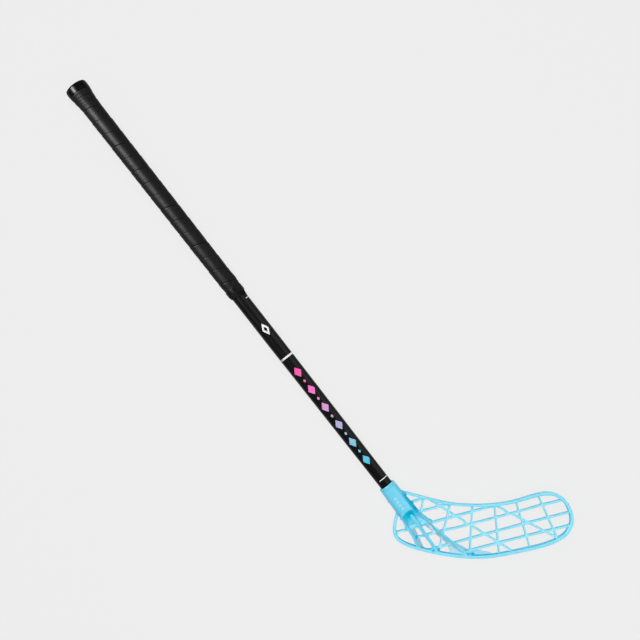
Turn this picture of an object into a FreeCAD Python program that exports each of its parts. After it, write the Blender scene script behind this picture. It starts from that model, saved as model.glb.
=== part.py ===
import FreeCAD, Part
import math
import os

from FreeCAD import Vector

# A floorball stick lying on its back: X runs along the shaft from the butt to the blade,
# Y points to the blade's toe and Z up, out of its front. Sizes are millimetres and degrees.

# Fits and cuts
fit_clearance = 0.1
cut_overrun = 2.0
full_turn = 360

# Shaft: a round tube, tapered under the grip, parallel below it, then tapered to the blade
shaft_length = 791.0
shaft_wall = 1.5
shaft_butt_radius = 11.8
shaft_clip_radius = 10.8
shaft_blade_radius = 9.6
shaft_clip_length = 74.0

# Butt cap: a knob with a bevelled end, a plug in the tube's bore and a flared skirt round the tube
cap_radius = 16.9
cap_bevel = 5.0
cap_head_length = 12.5
cap_end_wall = 7.5
cap_skirt_length = 29.0
cap_flare_length = 10.0
cap_flare_ease = 1.5
cap_flare_rise = 2.2
cap_skirt_wall = 0.5
cap_plug_length = 26.0

# Grip tape: one strip wound over the skirt and the shaft, each turn's butt side raised
grip_length = 378.5
tape_thickness = 1.75
tape_step = 0.6
tape_gap = 0.6
tape_tip_width = 0.6
tape_tail_share = 0.4
press_turns = 2
close_turns = 3
wide_turns = 15
patches_per_turn = 2
steps_per_patch = 6
same_sense = 1

# Finishing tape: a band that steps from the end of the grip down onto the bare shaft
band_overlap = 11.0
band_reach = 12.0
band_thickness = 0.45
band_ease = 0.15

# Neck: the blade's socket for the shaft
neck_length = 55.3
neck_mouth_radius = 12.4
neck_radius = 13.7
neck_taper_length = 35.0
neck_end_bevel = 1.6
neck_notch_radius = 11.5
neck_notch_depth = 4.5
socket_depth = 48.3

# Blade screw: sits in a flat on the heel side of the neck and bites into the shaft's wall
screw_from_mouth = 21.3
screw_shank_radius = 1.75
screw_bite = 3.0
screw_head_radius = 3.4
screw_crown_radius = 2.6
screw_head_height = 1.6
screw_slot_width = 0.9
screw_slot_depth = 0.8
screw_seat_drop = 0.4

# Blade: an open lattice of ribs in a rim, bent forward towards the toe
lie_angle = 52.0
neck_to_sole = 139.0
blade_length = 263.3
blade_height = 100.1
heel_reach = 74.0
blade_set_back = 6.0
hook_start = -20.0
hook_radius = 1350.0
rim_width = 3.6
rim_depth = 11.0
sole_extra_width = 1.4
rib_depth = 7.0
long_rib_width = 3.4
cross_rib_width = 2.7
slant_rib_width = 3.1

# Neck ribs and web: the trough that carries the socket's end down to the sole
neck_rib_width = 3.6
neck_rib_rise = 8.0
trough_lean = 7.0
web_thickness = 2.5
web_drop = 0.8
web_rise = 2.0

# Rim outline, clockwise from the neck: shares of the blade's length from the heel, and of its height
rim_outline_shares = [
    (0.031, 1.012), (0.165, 0.920), (0.306, 0.833), (0.486, 0.805), (0.654, 0.857),
    (0.775, 0.955), (0.863, 1.000), (0.939, 0.935), (0.987, 0.762), (1.000, 0.594),
    (0.974, 0.399), (0.908, 0.263), (0.736, 0.114), (0.498, 0.000), (0.261, 0.046),
    (0.101, 0.150), (0.023, 0.267), (0.000, 0.415), (0.004, 0.578), (0.018, 0.749),
]

# Ribs by their two ends, in the same shares. The rim takes the ends that run into it.
long_rib_shares = [
    ((0.102, 0.834), (0.178, 0.900)),
    ((0.153, 0.695), (0.320, 0.808)),
    ((0.006, 0.377), (0.590, 0.800)),
    ((0.112, 0.292), (0.948, 0.891)),
    ((0.179, 0.105), (0.992, 0.719)),
    ((0.391, 0.090), (0.997, 0.527)),
]
cross_rib_shares = [
    ((0.169, 0.900), (0.153, 0.684)),
    ((0.320, 0.817), (0.250, 0.066)),
    ((0.444, 0.799), (0.427, 0.037)),
    ((0.566, 0.808), (0.593, 0.062)),
    ((0.685, 0.859), (0.767, 0.135)),
    ((0.806, 0.960), (0.921, 0.278)),
]
slant_rib_shares = [
    ((0.194, 0.881), (0.687, 0.080)),
    ((0.557, 0.810), (0.929, 0.302)),
    ((0.041, 0.989), (0.143, 0.684)),
]

# Neck ribs by their upper and lower ends, and the way their walls lean towards the back
neck_rib_shares = [
    ((0.036, 0.713), (0.149, 0.078), 1),
    ((0.099, 0.644), (0.251, 0.078), 0),
    ((0.099, 0.752), (0.429, 0.036), -1),
]

# Trough's floor by its edges in the socket's end and at the first long rib that crosses it
web_top_shares = ((0.040, 0.713), (0.112, 0.745))
web_foot_shares = ((0.094, 0.435), (0.232, 0.535))

# Places along the shaft's axis
shaft_end = cap_end_wall + shaft_length
skirt_end = cap_head_length + cap_skirt_length
grip_end = cap_head_length + grip_length
band_start = grip_end - band_overlap
band_end = grip_end + band_reach
clip_end = band_end + shaft_clip_length
neck_mouth = shaft_end + fit_clearance - socket_depth
neck_end = neck_mouth + neck_length
sole_crossing = neck_mouth + neck_to_sole
screw_place = neck_mouth + screw_from_mouth

# Skirt of the cap, which ends in a thin edge round the tube
skirt_bore_radius = shaft_butt_radius + fit_clearance
skirt_end_radius = skirt_bore_radius + cap_skirt_wall

# Turns of the tape: close ones on the skirt, wide ones on the shaft
tape_start = cap_head_length + tape_gap
close_pitch = cap_skirt_length / close_turns
wide_pitch = (grip_end + tape_gap - tape_start - cap_skirt_length) / wide_turns
first_turn = (tape_gap + tape_tip_width) / close_pitch - 1
last_turn = close_turns + wide_turns - (tape_gap + tape_tip_width) / wide_pitch


def between(start, end, share):
    """Value at a share of the way from start to end."""
    return start + (end - start) * share


def turned(edges):
    """Solid that a closed outline in the XZ plane sweeps about the shaft's axis."""
    return Part.Face(Part.Wire(edges)).revolve(Vector(), Vector(1, 0, 0), full_turn)


def outline(profile):
    """Straight edges through (place along the shaft, radius) points, closed."""
    corners = [Vector(place, 0, radius) for place, radius in profile]
    return Part.makePolygon(corners + corners[:1]).Edges


def shaft_radius(place):
    """Outer radius of the tube at a place along the shaft."""
    if place <= band_end:
        share = (place - cap_end_wall) / (band_end - cap_end_wall)
        return between(shaft_butt_radius, shaft_clip_radius, share)
    share = (place - clip_end) / (neck_mouth - clip_end)
    return between(shaft_clip_radius, shaft_blade_radius, min(max(share, 0), 1))


def flare_rise(place):
    """Height of the skirt's flare, next to the knob, over the rest of the skirt."""
    share = (place - cap_head_length) / cap_flare_length
    return between(cap_flare_rise, 0, min(max(share, 0), 1))


def wound_radius(place):
    """Radius that the tape lies on: the flared skirt, then a turn later the tube."""
    share = min(max((place - skirt_end) / wide_pitch - 1, 0), 1)
    return between(skirt_end_radius + flare_rise(place), shaft_radius(place), share)


def splined(edge):
    """The same edge, as a spline if it slopes: the long cone it sweeps then meshes in few facets."""
    span = edge.Vertexes[-1].Point - edge.Vertexes[0].Point
    slopes = min(abs(span.x), abs(span.z)) > fit_clearance
    return edge.toNurbs().Edges[0] if slopes else edge


def make_shaft():
    """Tube with a bore parallel to its outside and a pilot hole for the screw."""
    places = [cap_end_wall, band_end, clip_end, neck_mouth, shaft_end]
    outer = [(place, shaft_radius(place)) for place in places]
    inner = [(place, radius - shaft_wall) for place, radius in reversed(outer)]
    pilot = screw_cylinder(screw_shank_radius + fit_clearance, 0, neck_radius)
    return turned([splined(edge) for edge in outline(outer + inner)]).cut(pilot)


def make_butt_cap():
    """Knob, plug and flared skirt, with a groove between them for the end of the tube."""
    plug_end = cap_end_wall + cap_plug_length
    plug_radius = shaft_radius(plug_end) - shaft_wall - fit_clearance
    bevel_inset = cap_bevel * (1 - math.sqrt(0.5))
    flare_end = cap_head_length + cap_flare_length - cap_flare_ease
    profile = [(0, 0), (0, cap_radius - cap_bevel), (bevel_inset, cap_radius - bevel_inset),
               (cap_bevel, cap_radius), (cap_head_length, cap_radius)]
    profile += [(cap_head_length, wound_radius(cap_head_length)), (flare_end, skirt_end_radius),
                (skirt_end, skirt_end_radius), (skirt_end, skirt_bore_radius),
                (cap_end_wall, skirt_bore_radius), (cap_end_wall, plug_radius),
                (plug_end, plug_radius), (plug_end, 0)]
    return turned(outline(profile))


def butt_edge(turn):
    """Place along the shaft of the strip's butt-side edge, counted in turns from the cap."""
    close = min(max(turn, 0), close_turns)
    wide = max(turn - close_turns, 0)
    return tape_start + close * close_pitch + wide * wide_pitch


def blade_edge(turn):
    """Place of the strip's other edge, which stops short of the next turn."""
    return min(butt_edge(turn + 1) - tape_gap, grip_end)


def tape_height(place, step):
    """Height of the tape's outside over what it lies on, pressed flat before the band covers it."""
    share = min(max((place - band_start) / wide_pitch + press_turns, 0), 1)
    return (tape_thickness + step) * between(1, tape_tail_share, share)


def tape_corners(turn):
    """The strip's four corners at a turn: inside and outside, butt edge then blade edge."""
    angle = math.tau * turn
    corners = []
    for place, step in ((butt_edge(turn), tape_step), (blade_edge(turn), 0)):
        for height in (fit_clearance, tape_height(place, step)):
            radius = wound_radius(place) + height
            corners.append(Vector(place, radius * math.sin(angle), radius * math.cos(angle)))
    return corners


def tape_patch(start, end):
    """Four ruled faces of the strip over part of a turn."""
    turns = [between(start, end, step / steps_per_patch) for step in range(steps_per_patch + 1)]
    rows = [tape_corners(turn) for turn in turns]
    edges = []
    for corner in range(len(rows[0])):
        curve = Part.BSplineCurve()
        curve.interpolate(Points=[row[corner] for row in rows])
        edges.append(curve.toShape())
    inner_butt, outer_butt, inner_blade, outer_blade = edges
    pairs = ((inner_butt, outer_butt), (outer_butt, outer_blade),
             (outer_blade, inner_blade), (inner_blade, inner_butt))
    return [Part.makeRuledSurface(first, second, same_sense) for first, second in pairs]


def tape_end(turn):
    """Flat face that closes the strip where it is cut."""
    inner_butt, outer_butt, inner_blade, outer_blade = tape_corners(turn)
    loop = [inner_butt, outer_butt, outer_blade, inner_blade, inner_butt]
    return Part.Face(Part.makePolygon(loop))


def make_grip_tape():
    """One unbroken strip wound over the skirt and the shaft, cut square at both ends."""
    loops = close_turns + wide_turns
    marks = [step / patches_per_turn for step in range(1 - patches_per_turn, loops * patches_per_turn)]
    marks = [first_turn] + [mark for mark in marks if first_turn < mark < last_turn] + [last_turn]
    faces = [tape_end(first_turn), tape_end(last_turn)]
    for start, end in zip(marks, marks[1:]):
        faces += tape_patch(start, end)
    shell = Part.makeShell(faces)
    shell.sewShape()
    tape = Part.makeSolid(shell.Shells[0] if shell.Shells else shell)
    if tape.Volume < 0:
        tape.reverse()
    return tape


def least_turn_gap():
    """Least distance between the facing edges of neighbouring turns, on points along the strip."""
    samples = (close_turns + wide_turns) * patches_per_turn * steps_per_patch
    gaps = []
    for step in range(samples):
        turn = between(first_turn, last_turn - 1, step / samples)
        facing = tape_corners(turn)[2:]
        following = tape_corners(turn + 1)[:2]
        gaps += [here.distanceToPoint(there) for here in facing for there in following]
    return min(gaps)


def make_finishing_tape():
    """Band over the tape's pressed end that steps down to the shaft."""
    over_tape = wound_radius(band_start) + tape_height(band_start, tape_step) + band_ease
    step = grip_end + fit_clearance
    on_shaft = shaft_radius(step) + fit_clearance
    inner = [(band_start, over_tape), (step, over_tape), (step, on_shaft), (band_end, on_shaft)]
    outer_step = step + band_thickness
    outer = [(band_end, on_shaft + band_thickness), (outer_step, on_shaft + band_thickness),
             (outer_step, over_tape + band_thickness), (band_start, over_tape + band_thickness)]
    return turned(outline(inner + outer))


def neck_outer_radius(place):
    """Outer radius of the socket at a place along the shaft."""
    share = min((place - neck_mouth) / neck_taper_length, 1)
    return between(neck_mouth_radius, neck_radius, share)


def screw_seat():
    """Distance of the screw head's flat from the shaft's axis."""
    return neck_outer_radius(screw_place) - screw_seat_drop


def screw_cylinder(radius, start, end):
    """Cylinder on the screw's axis between two distances from the shaft's axis."""
    return Part.makeCylinder(radius, end - start, Vector(screw_place, -start, 0), Vector(0, -1, 0))


def make_blade_screw():
    """Slotted screw with a bevelled head, through the socket's heel side."""
    seat = screw_seat()
    head = Part.makeCone(screw_head_radius, screw_crown_radius, screw_head_height,
                         Vector(screw_place, -seat, 0), Vector(0, -1, 0))
    slot = Part.makeBox(screw_slot_width, screw_slot_depth + cut_overrun, 2 * screw_head_radius,
                        Vector(screw_place - screw_slot_width / 2,
                               -seat - screw_head_height - cut_overrun, -screw_head_radius))
    shank_start = shaft_blade_radius - shaft_wall - screw_bite
    return head.cut(slot).fuse(screw_cylinder(screw_shank_radius, shank_start, seat)).removeSplitter()


def blade_point(shares, height=0):
    """Point of the blade from its shares of length and height, in the blade's own axes."""
    along, up = shares
    return Vector(along * blade_length - heel_reach, up * blade_height, height)


def strip(ends, width, heights=(0, 0)):
    """Closed wire round a straight strip between two ends, each at its own height."""
    start = blade_point(ends[0], heights[0])
    end = blade_point(ends[1], heights[1])
    run = Vector(end.x - start.x, end.y - start.y, 0).normalize()
    side = Vector(-run.y, run.x, 0) * (width / 2)
    corners = [start + side, end + side, end - side, start - side]
    return Part.makePolygon(corners + corners[:1])


def rim_area(inset, sole_extra):
    """Area inside the rim's outline, drawn in by a width that grows from the top to the sole."""
    points = [blade_point(shares) for shares in rim_outline_shares]
    curve = Part.BSplineCurve()
    curve.interpolate(Points=points)
    moved = []
    for point in points:
        run = curve.tangent(curve.parameter(point))[0]
        outward = Vector(-run.y, run.x, 0)
        moved.append(point - outward * (inset + sole_extra * (1 - outward.y) / 2))
    curve.interpolate(Points=moved)
    return Part.Face(Part.Wire([curve.toShape(), Part.makeLine(moved[-1], moved[0])]))


def raised(face):
    """Tall prism on a flat face, far past the blade's front and back."""
    tall = blade_height
    low = face.copy()
    low.translate(Vector(0, 0, -tall))
    return low.extrude(Vector(0, 0, 2 * tall))


def hooked_slab(depth):
    """Slab of the given depth about the blade's middle surface: flat, then an arc to the toe."""
    half = depth / 2
    start = -heel_reach - rim_depth
    sweep = (blade_length - heel_reach - hook_start + rim_depth) / hook_radius
    edges = []
    ends = []
    for radius in (hook_radius + half, hook_radius - half):
        level = hook_radius - radius
        flat = Vector(hook_start, 0, level)
        corners = [Vector(hook_start + radius * math.sin(angle), 0,
                          hook_radius - radius * math.cos(angle)) for angle in (sweep / 2, sweep)]
        edges.append(Part.makeLine(Vector(start, 0, level), flat))
        edges.append(Part.Arc(flat, *corners).toShape())
        ends.append((Vector(start, 0, level), corners[-1]))
    for low, high in zip(*ends):
        edges.append(Part.makeLine(low, high))
    face = Part.Face(Part.Wire(Part.__sortEdges__(edges)))
    face.translate(Vector(0, -blade_height, 0))
    return face.extrude(Vector(0, 3 * blade_height, 0))


def make_rim():
    """Rim that follows the outline, thicker along the sole."""
    ring = rim_area(0, 0).cut(rim_area(rim_width, sole_extra_width))
    return raised(ring.Faces[0]).common(hooked_slab(rim_depth))


def make_lattice():
    """Straight ribs between the rim's sides, thinner than the rim."""
    strips = [(ends, long_rib_width) for ends in long_rib_shares]
    strips += [(ends, cross_rib_width) for ends in cross_rib_shares]
    strips += [(ends, slant_rib_width) for ends in slant_rib_shares]
    prisms = [raised(Part.Face(strip(ends, width))) for ends, width in strips]
    bounds = raised(rim_area(rim_width / 2, sole_extra_width / 2))
    return prisms[0].multiFuse(prisms[1:]).common(bounds).common(hooked_slab(rib_depth))


def make_neck_ribs():
    """Tall ribs that lean in towards the back and fan out from the socket to the sole."""
    front = rim_depth / 2
    bounds = raised(rim_area(rim_width / 2, sole_extra_width / 2))
    ribs = []
    for upper, lower, lean in neck_rib_shares:
        face_loop = strip((upper, lower), neck_rib_width, (front + neck_rib_rise, front))
        back_loop = strip((upper, lower), neck_rib_width, (-front, -front))
        run = blade_point(lower) - blade_point(upper)
        back_loop.translate(Vector(-run.y, run.x, 0).normalize() * (trough_lean * lean))
        ribs.append(Part.makeLoft([face_loop, back_loop], True, True).common(bounds))
    return ribs


def make_web():
    """Thin floor of the trough between the outer neck ribs, deepest at the socket's end."""
    loops = []
    for shares, level in ((web_top_shares, -web_drop), (web_foot_shares, web_rise)):
        low, high = level - web_thickness / 2, level + web_thickness / 2
        left, right = shares
        corners = [blade_point(left, low), blade_point(right, low),
                   blade_point(right, high), blade_point(left, high)]
        loops.append(Part.makePolygon(corners + corners[:1]))
    return Part.makeLoft(loops, True, True)


def make_socket():
    """Outside of the neck: a cone, then a cylinder with a bevelled end that is notched over the trough."""
    neck = turned(outline([(neck_mouth, 0), (neck_mouth, neck_mouth_radius),
                           (neck_mouth + neck_taper_length, neck_radius),
                           (neck_end - neck_end_bevel, neck_radius),
                           (neck_end, neck_radius - neck_end_bevel), (neck_end, 0)]))
    notch_place = neck_end - neck_notch_depth + neck_notch_radius
    notch = Part.makeCylinder(neck_notch_radius, blade_set_back + neck_radius + cut_overrun,
                              Vector(notch_place, 0, -blade_set_back))
    return neck.cut(notch)


def make_blade():
    """Blade and neck as one moulding, bored for the shaft and the screw."""
    pieces = [make_rim(), make_lattice(), make_web()] + make_neck_ribs()
    for piece in pieces:
        piece.rotate(Vector(), Vector(0, 0, 1), lie_angle)
        piece.translate(Vector(sole_crossing, 0, -blade_set_back))
    blade = make_socket().multiFuse(pieces).removeSplitter()
    bore = Part.makeCylinder(shaft_blade_radius + fit_clearance, socket_depth + cut_overrun,
                             Vector(neck_mouth - cut_overrun, 0, 0), Vector(1, 0, 0))
    seat = screw_cylinder(screw_head_radius + fit_clearance, screw_seat(), neck_radius + cut_overrun)
    hole = screw_cylinder(screw_shank_radius + fit_clearance, 0, neck_radius + cut_overrun)
    return blade.cut(bore.multiFuse([seat, hole]))


nodes = {
    "shaft": make_shaft(),
    "butt_cap": make_butt_cap(),
    "grip_tape": make_grip_tape(),
    "finishing_tape": make_finishing_tape(),
    "blade": make_blade(),
    "blade_screw": make_blade_screw(),
}

# The origin is the middle of the whole stick's box, on the surface that it lies on
box = Part.makeCompound(list(nodes.values())).optimalBoundingBox(False, False)
to_origin = Vector(-box.Center.x, -box.Center.y, -box.ZMin)

os.makedirs("parts", exist_ok=True)
for name, shape in nodes.items():
    shape.translate(to_origin)
    shape.exportStep(f"parts/{name}.step")

print(f"least gap between turns of the tape: {least_turn_gap():.2f} mm")
print(f"butt end of the shaft's axis: {tuple(round(value, 3) for value in to_origin)} mm")
print(f"overall: {box.XLength:.1f} x {box.YLength:.1f} x {box.ZLength:.1f} mm")
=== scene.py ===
"""Floorball stick: the looks of its six pieces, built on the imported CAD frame.

The stick lies on its back. X runs along the shaft from the butt to the blade, Y points to the blade's toe and
Z up, out of the blade's front. Sizes are metres. A turn about the shaft starts at the top and goes to the toe
side.
"""

import logging
import math
from dataclasses import dataclass
from enum import Enum
from typing import Mapping, Sequence, Union

import bmesh
import bpy
import numpy as np
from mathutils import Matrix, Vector
from mathutils.bvhtree import BVHTree

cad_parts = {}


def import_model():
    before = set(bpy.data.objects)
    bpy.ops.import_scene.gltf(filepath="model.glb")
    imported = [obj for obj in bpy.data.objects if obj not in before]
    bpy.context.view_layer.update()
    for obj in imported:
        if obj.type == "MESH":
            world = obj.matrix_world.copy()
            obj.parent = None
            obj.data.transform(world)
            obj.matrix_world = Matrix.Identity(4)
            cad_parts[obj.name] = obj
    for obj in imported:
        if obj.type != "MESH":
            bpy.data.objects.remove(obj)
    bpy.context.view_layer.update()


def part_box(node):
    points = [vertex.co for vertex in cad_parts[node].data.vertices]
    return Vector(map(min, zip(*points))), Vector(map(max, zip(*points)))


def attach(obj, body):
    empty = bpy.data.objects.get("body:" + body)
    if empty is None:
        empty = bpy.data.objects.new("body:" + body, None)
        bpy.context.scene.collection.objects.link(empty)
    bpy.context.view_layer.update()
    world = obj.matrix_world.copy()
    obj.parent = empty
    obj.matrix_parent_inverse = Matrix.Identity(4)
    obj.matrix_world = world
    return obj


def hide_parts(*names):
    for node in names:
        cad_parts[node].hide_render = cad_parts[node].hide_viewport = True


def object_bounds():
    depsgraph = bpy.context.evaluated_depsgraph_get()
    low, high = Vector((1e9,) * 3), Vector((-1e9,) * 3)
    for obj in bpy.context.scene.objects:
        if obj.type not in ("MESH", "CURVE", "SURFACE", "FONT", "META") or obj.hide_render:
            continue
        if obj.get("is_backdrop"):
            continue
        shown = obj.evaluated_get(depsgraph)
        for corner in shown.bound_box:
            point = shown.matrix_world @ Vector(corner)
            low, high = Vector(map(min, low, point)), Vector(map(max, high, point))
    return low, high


LOG = logging.getLogger("floorball_stick")
MM = 0.001
BLACK = (0.0, 0.0, 0.0, 1.0)
WHITE = (1.0, 1.0, 1.0, 1.0)

Colour = tuple[float, float, float, float]
# Numbers of a soft band, as band() takes them
Stretch = tuple[float, ...]
# Place on the blade: share of its length from the heel and of its height from the sole
Place = tuple[float, float]
Line = tuple[Place, Place]


def linear(value: int) -> float:
    """Linear level of a screen level from 0 to 255."""
    share = value / 255
    return share / 12.92 if share <= 0.04045 else ((share + 0.055) / 1.055) ** 2.4


def srgb(red: int, green: int, blue: int) -> Colour:
    """Colour as shaders take it, of a screen colour from 0 to 255."""
    return linear(red), linear(green), linear(blue), 1.0


def mm(*sizes: float) -> tuple[float, ...]:
    """Sizes in metres, of sizes in millimetres."""
    return tuple(size * MM for size in sizes)


def smooth_share(values: np.ndarray, low: float, high: float) -> np.ndarray:
    """Smooth step from 0 at low to 1 at high, either way round."""
    share = np.clip((values - low) / (high - low), 0.0, 1.0)
    return share * share * (3.0 - 2.0 * share)


def band(values: np.ndarray, stretch: Stretch) -> np.ndarray:
    """Soft band: 0 at the first number, 1 from the second and, of four, 1 to the third, 0 at the fourth."""
    share = smooth_share(values, stretch[0], stretch[1])
    return share * smooth_share(values, stretch[3], stretch[2]) if len(stretch) == 4 else share


def add_object(name: str, data: bpy.types.ID) -> bpy.types.Object:
    """Put data into the scene.

    Args:
        name: Name of the object.
        data: Its mesh, lamp or lens.

    Returns:
        The object.
    """
    item = bpy.data.objects.new(name, data)
    bpy.context.scene.collection.objects.link(item)
    return item


class Node(Enum):
    """CAD nodes of the stick."""

    SHAFT = "shaft"
    BUTT_CAP = "butt_cap"
    GRIP_TAPE = "grip_tape"
    FINISHING_TAPE = "finishing_tape"
    BLADE = "blade"
    BLADE_SCREW = "blade_screw"


class Slot(Enum):
    """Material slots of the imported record."""

    LACQUER = "shaft_lacquer"
    RUBBER = "cap_rubber"
    FOAM = "grip_foam"
    VINYL = "band_vinyl"
    PLASTIC = "blade_plastic"


class Throw(Enum):
    """What a lamp lights: only the shine of surfaces, or only their colour."""

    SHEEN = "sheen"
    FILL = "fill"


class Field(Enum):
    """Numbers that a mesh carries at its points, for the finishes to read."""

    ALONG = "along"
    TURN = "turn"
    STRIP = "strip"
    HEIGHT = "height"
    # From CAVITY on, the blade's masks of painted shade, glow, highlight and light through it; MARK is print
    CAVITY = "cavity"
    SHADE = "shade"
    LIGHT_THROUGH = "light_through"
    RIB_HIGHLIGHT = "rib_highlight"
    MARK = "mark"
    FLOOR = "floor"


class Wire:
    """One output socket of a node tree, with arithmetic that adds Math nodes."""

    def __init__(self, graph: "Graph", socket: bpy.types.NodeSocket) -> None:
        """Keep the tree and the socket."""
        self.graph = graph
        self.socket = socket

    def __add__(self, other: "Number") -> "Wire":
        """Sum."""
        return self.graph.math("ADD", self, other)

    def __sub__(self, other: "Number") -> "Wire":
        """Difference."""
        return self.graph.math("SUBTRACT", self, other)

    def __rsub__(self, other: "Number") -> "Wire":
        """Difference, with a number first."""
        return self.graph.math("SUBTRACT", other, self)

    def __mul__(self, other: "Number") -> "Wire":
        """Product."""
        return self.graph.math("MULTIPLY", self, other)

    def __truediv__(self, other: "Number") -> "Wire":
        """Quotient."""
        return self.graph.math("DIVIDE", self, other)

    def __abs__(self) -> "Wire":
        """Size without the sign."""
        return self.graph.math("ABSOLUTE", self)

    __radd__ = __add__
    __rmul__ = __mul__

    def fraction(self) -> "Wire":
        """Part after the point."""
        return self.graph.math("FRACT", self)

    def most(self, other: "Number") -> "Wire":
        """Larger of two values."""
        return self.graph.math("MAXIMUM", self, other)

    def about(self, level: float, spread: float) -> "Wire":
        """Even noise about 0.5, moved to a level and spread about it."""
        return level + (self - 0.5) * spread

    def step(self, low: float, high: float) -> "Wire":
        """Smooth step from 0 at low to 1 at high, either way round."""
        inputs = {"Value": self, "From Min": low, "From Max": high, "To Min": 0.0, "To Max": 1.0}
        return self.graph.node("ShaderNodeMapRange", {"interpolation_type": "SMOOTHSTEP"}, inputs)

    def band(self, stretch: Stretch) -> "Wire":
        """Soft band: 0 at the first number, 1 from the second to the third, 0 at the fourth."""
        return self.step(stretch[0], stretch[1]) * self.step(stretch[3], stretch[2])


Number = Union[Wire, float]


class Graph:
    """Node tree of one material."""

    def __init__(self, name: str) -> None:
        """Start an empty material.

        Args:
            name: Its name.
        """
        self.material = bpy.data.materials.new(name)
        self.material.use_nodes = True
        self.tree = self.material.node_tree
        self.tree.nodes.clear()

    def node(
        self,
        kind: str,
        settings: Mapping[str, object] | None = None,
        inputs: Mapping[str | int, object] | None = None,
        output: str | int = 0,
    ) -> Wire:
        """Add a node, set it up, then fill or link its sockets.

        Args:
            kind: Blender's name of the node type.
            settings: Node properties, set first. "stops" holds a colour ramp's places and colours.
            inputs: Values or wires by socket name or number.
            output: Socket to hand on.

        Returns:
            The wire from that output.
        """
        node = self.tree.nodes.new(kind)
        for name, value in (settings or {}).items():
            if name == "stops":
                self.set_stops(node.color_ramp, value)
            else:
                setattr(node, name, value)
        for name, value in (inputs or {}).items():
            if isinstance(value, Wire):
                self.tree.links.new(value.socket, node.inputs[name])
            else:
                node.inputs[name].default_value = value
        return Wire(self, node.outputs[output])

    @staticmethod
    def set_stops(ramp: bpy.types.ColorRamp, stops: Sequence[tuple[float, Colour]]) -> None:
        """Fill a colour ramp.

        Args:
            ramp: The ramp, with Blender's two first stops.
            stops: Places from 0 to 1, in order, each with its colour.
        """
        while len(ramp.elements) < len(stops):
            ramp.elements.new(1.0)
        for element, (place, colour) in zip(ramp.elements, stops):
            element.position = place
            element.color = colour

    def math(self, operation: str, *values: Number) -> Wire:
        """Math node on values or wires."""
        return self.node("ShaderNodeMath", {"operation": operation}, dict(enumerate(values)))

    def mix(self, share: Number, first: object, second: object) -> Wire:
        """Colour between two colours or wires: the first at 0, the second at 1."""
        return self.node("ShaderNodeMix", {"data_type": "RGBA"}, {0: share, 6: first, 7: second}, 2)

    def field(self, field: Field, output: str = "Fac") -> Wire:
        """Number or vector that the mesh carries."""
        return self.node("ShaderNodeAttribute", {"attribute_name": field.value}, None, output)

    def place(self) -> Wire:
        """Place on the object, in metres."""
        return self.node("ShaderNodeTexCoord", None, None, "Object")

    def noise(self, place: Wire, scale: float, detail: float = 2.0) -> Wire:
        """Even cloudy noise about 0.5, with that many clouds in a metre and finer layers on top."""
        return self.node("ShaderNodeTexNoise", None, {"Vector": place, "Scale": scale, "Detail": detail})

    def bump(self, height: Wire, depth: float, strength: float = 1.0) -> Wire:
        """Normal of a fine relief from 0 to 1 that is that deep, at a share of its effect."""
        inputs = {"Height": height, "Distance": depth, "Strength": strength}
        return self.node("ShaderNodeBump", None, inputs, "Normal")

    def glow(self, colour: Colour) -> Wire:
        """Shader that shows a colour as it is written."""
        return self.node("ShaderNodeEmission", None, {"Color": colour, "Strength": 1.0}, "Emission")

    def surface(self, inputs: Mapping[str, object]) -> bpy.types.Material:
        """Close the tree with one surface shader, given its sockets' values or wires."""
        return self.close(self.node("ShaderNodeBsdfPrincipled", None, inputs, "BSDF"))

    def close(self, shader: Wire) -> bpy.types.Material:
        """Link a shader to the material's output.

        Args:
            shader: The shader.

        Returns:
            The finished material.
        """
        node = self.tree.nodes.new("ShaderNodeOutputMaterial")
        self.tree.links.new(shader.socket, node.inputs["Surface"])
        return self.material


@dataclass(frozen=True)
class Axis:
    """The shaft's axis in the frame.

    Attributes:
        butt: Place of the cap's flat end along X.
        side: Place across, along Y.
        height: Height over the surface that the stick lies on.
    """

    butt: float
    side: float
    height: float

    @classmethod
    def from_frame(cls) -> "Axis":
        """Axis of the butt cap's box."""
        low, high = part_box(Node.BUTT_CAP.value)
        return cls(low.x, (low.y + high.y) / 2, (low.z + high.z) / 2)

    def points(self, along: np.ndarray, turns: np.ndarray, radii: np.ndarray) -> np.ndarray:
        """Points round the axis.

        Args:
            along: Distances from the butt.
            turns: Turns from the top towards the toe side, in the same shape.
            radii: Distances from the axis, in the same shape.

        Returns:
            Points, with X, Y, Z last.
        """
        angles = math.tau * turns
        across, up = radii * np.sin(angles), radii * np.cos(angles)
        return np.stack([self.butt + along, self.side + across, self.height + up], axis=-1)

    def span(self, node: Node) -> tuple[float, float]:
        """First and last place of a CAD node, from the butt."""
        low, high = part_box(node.value)
        return low.x - self.butt, high.x - self.butt


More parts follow.
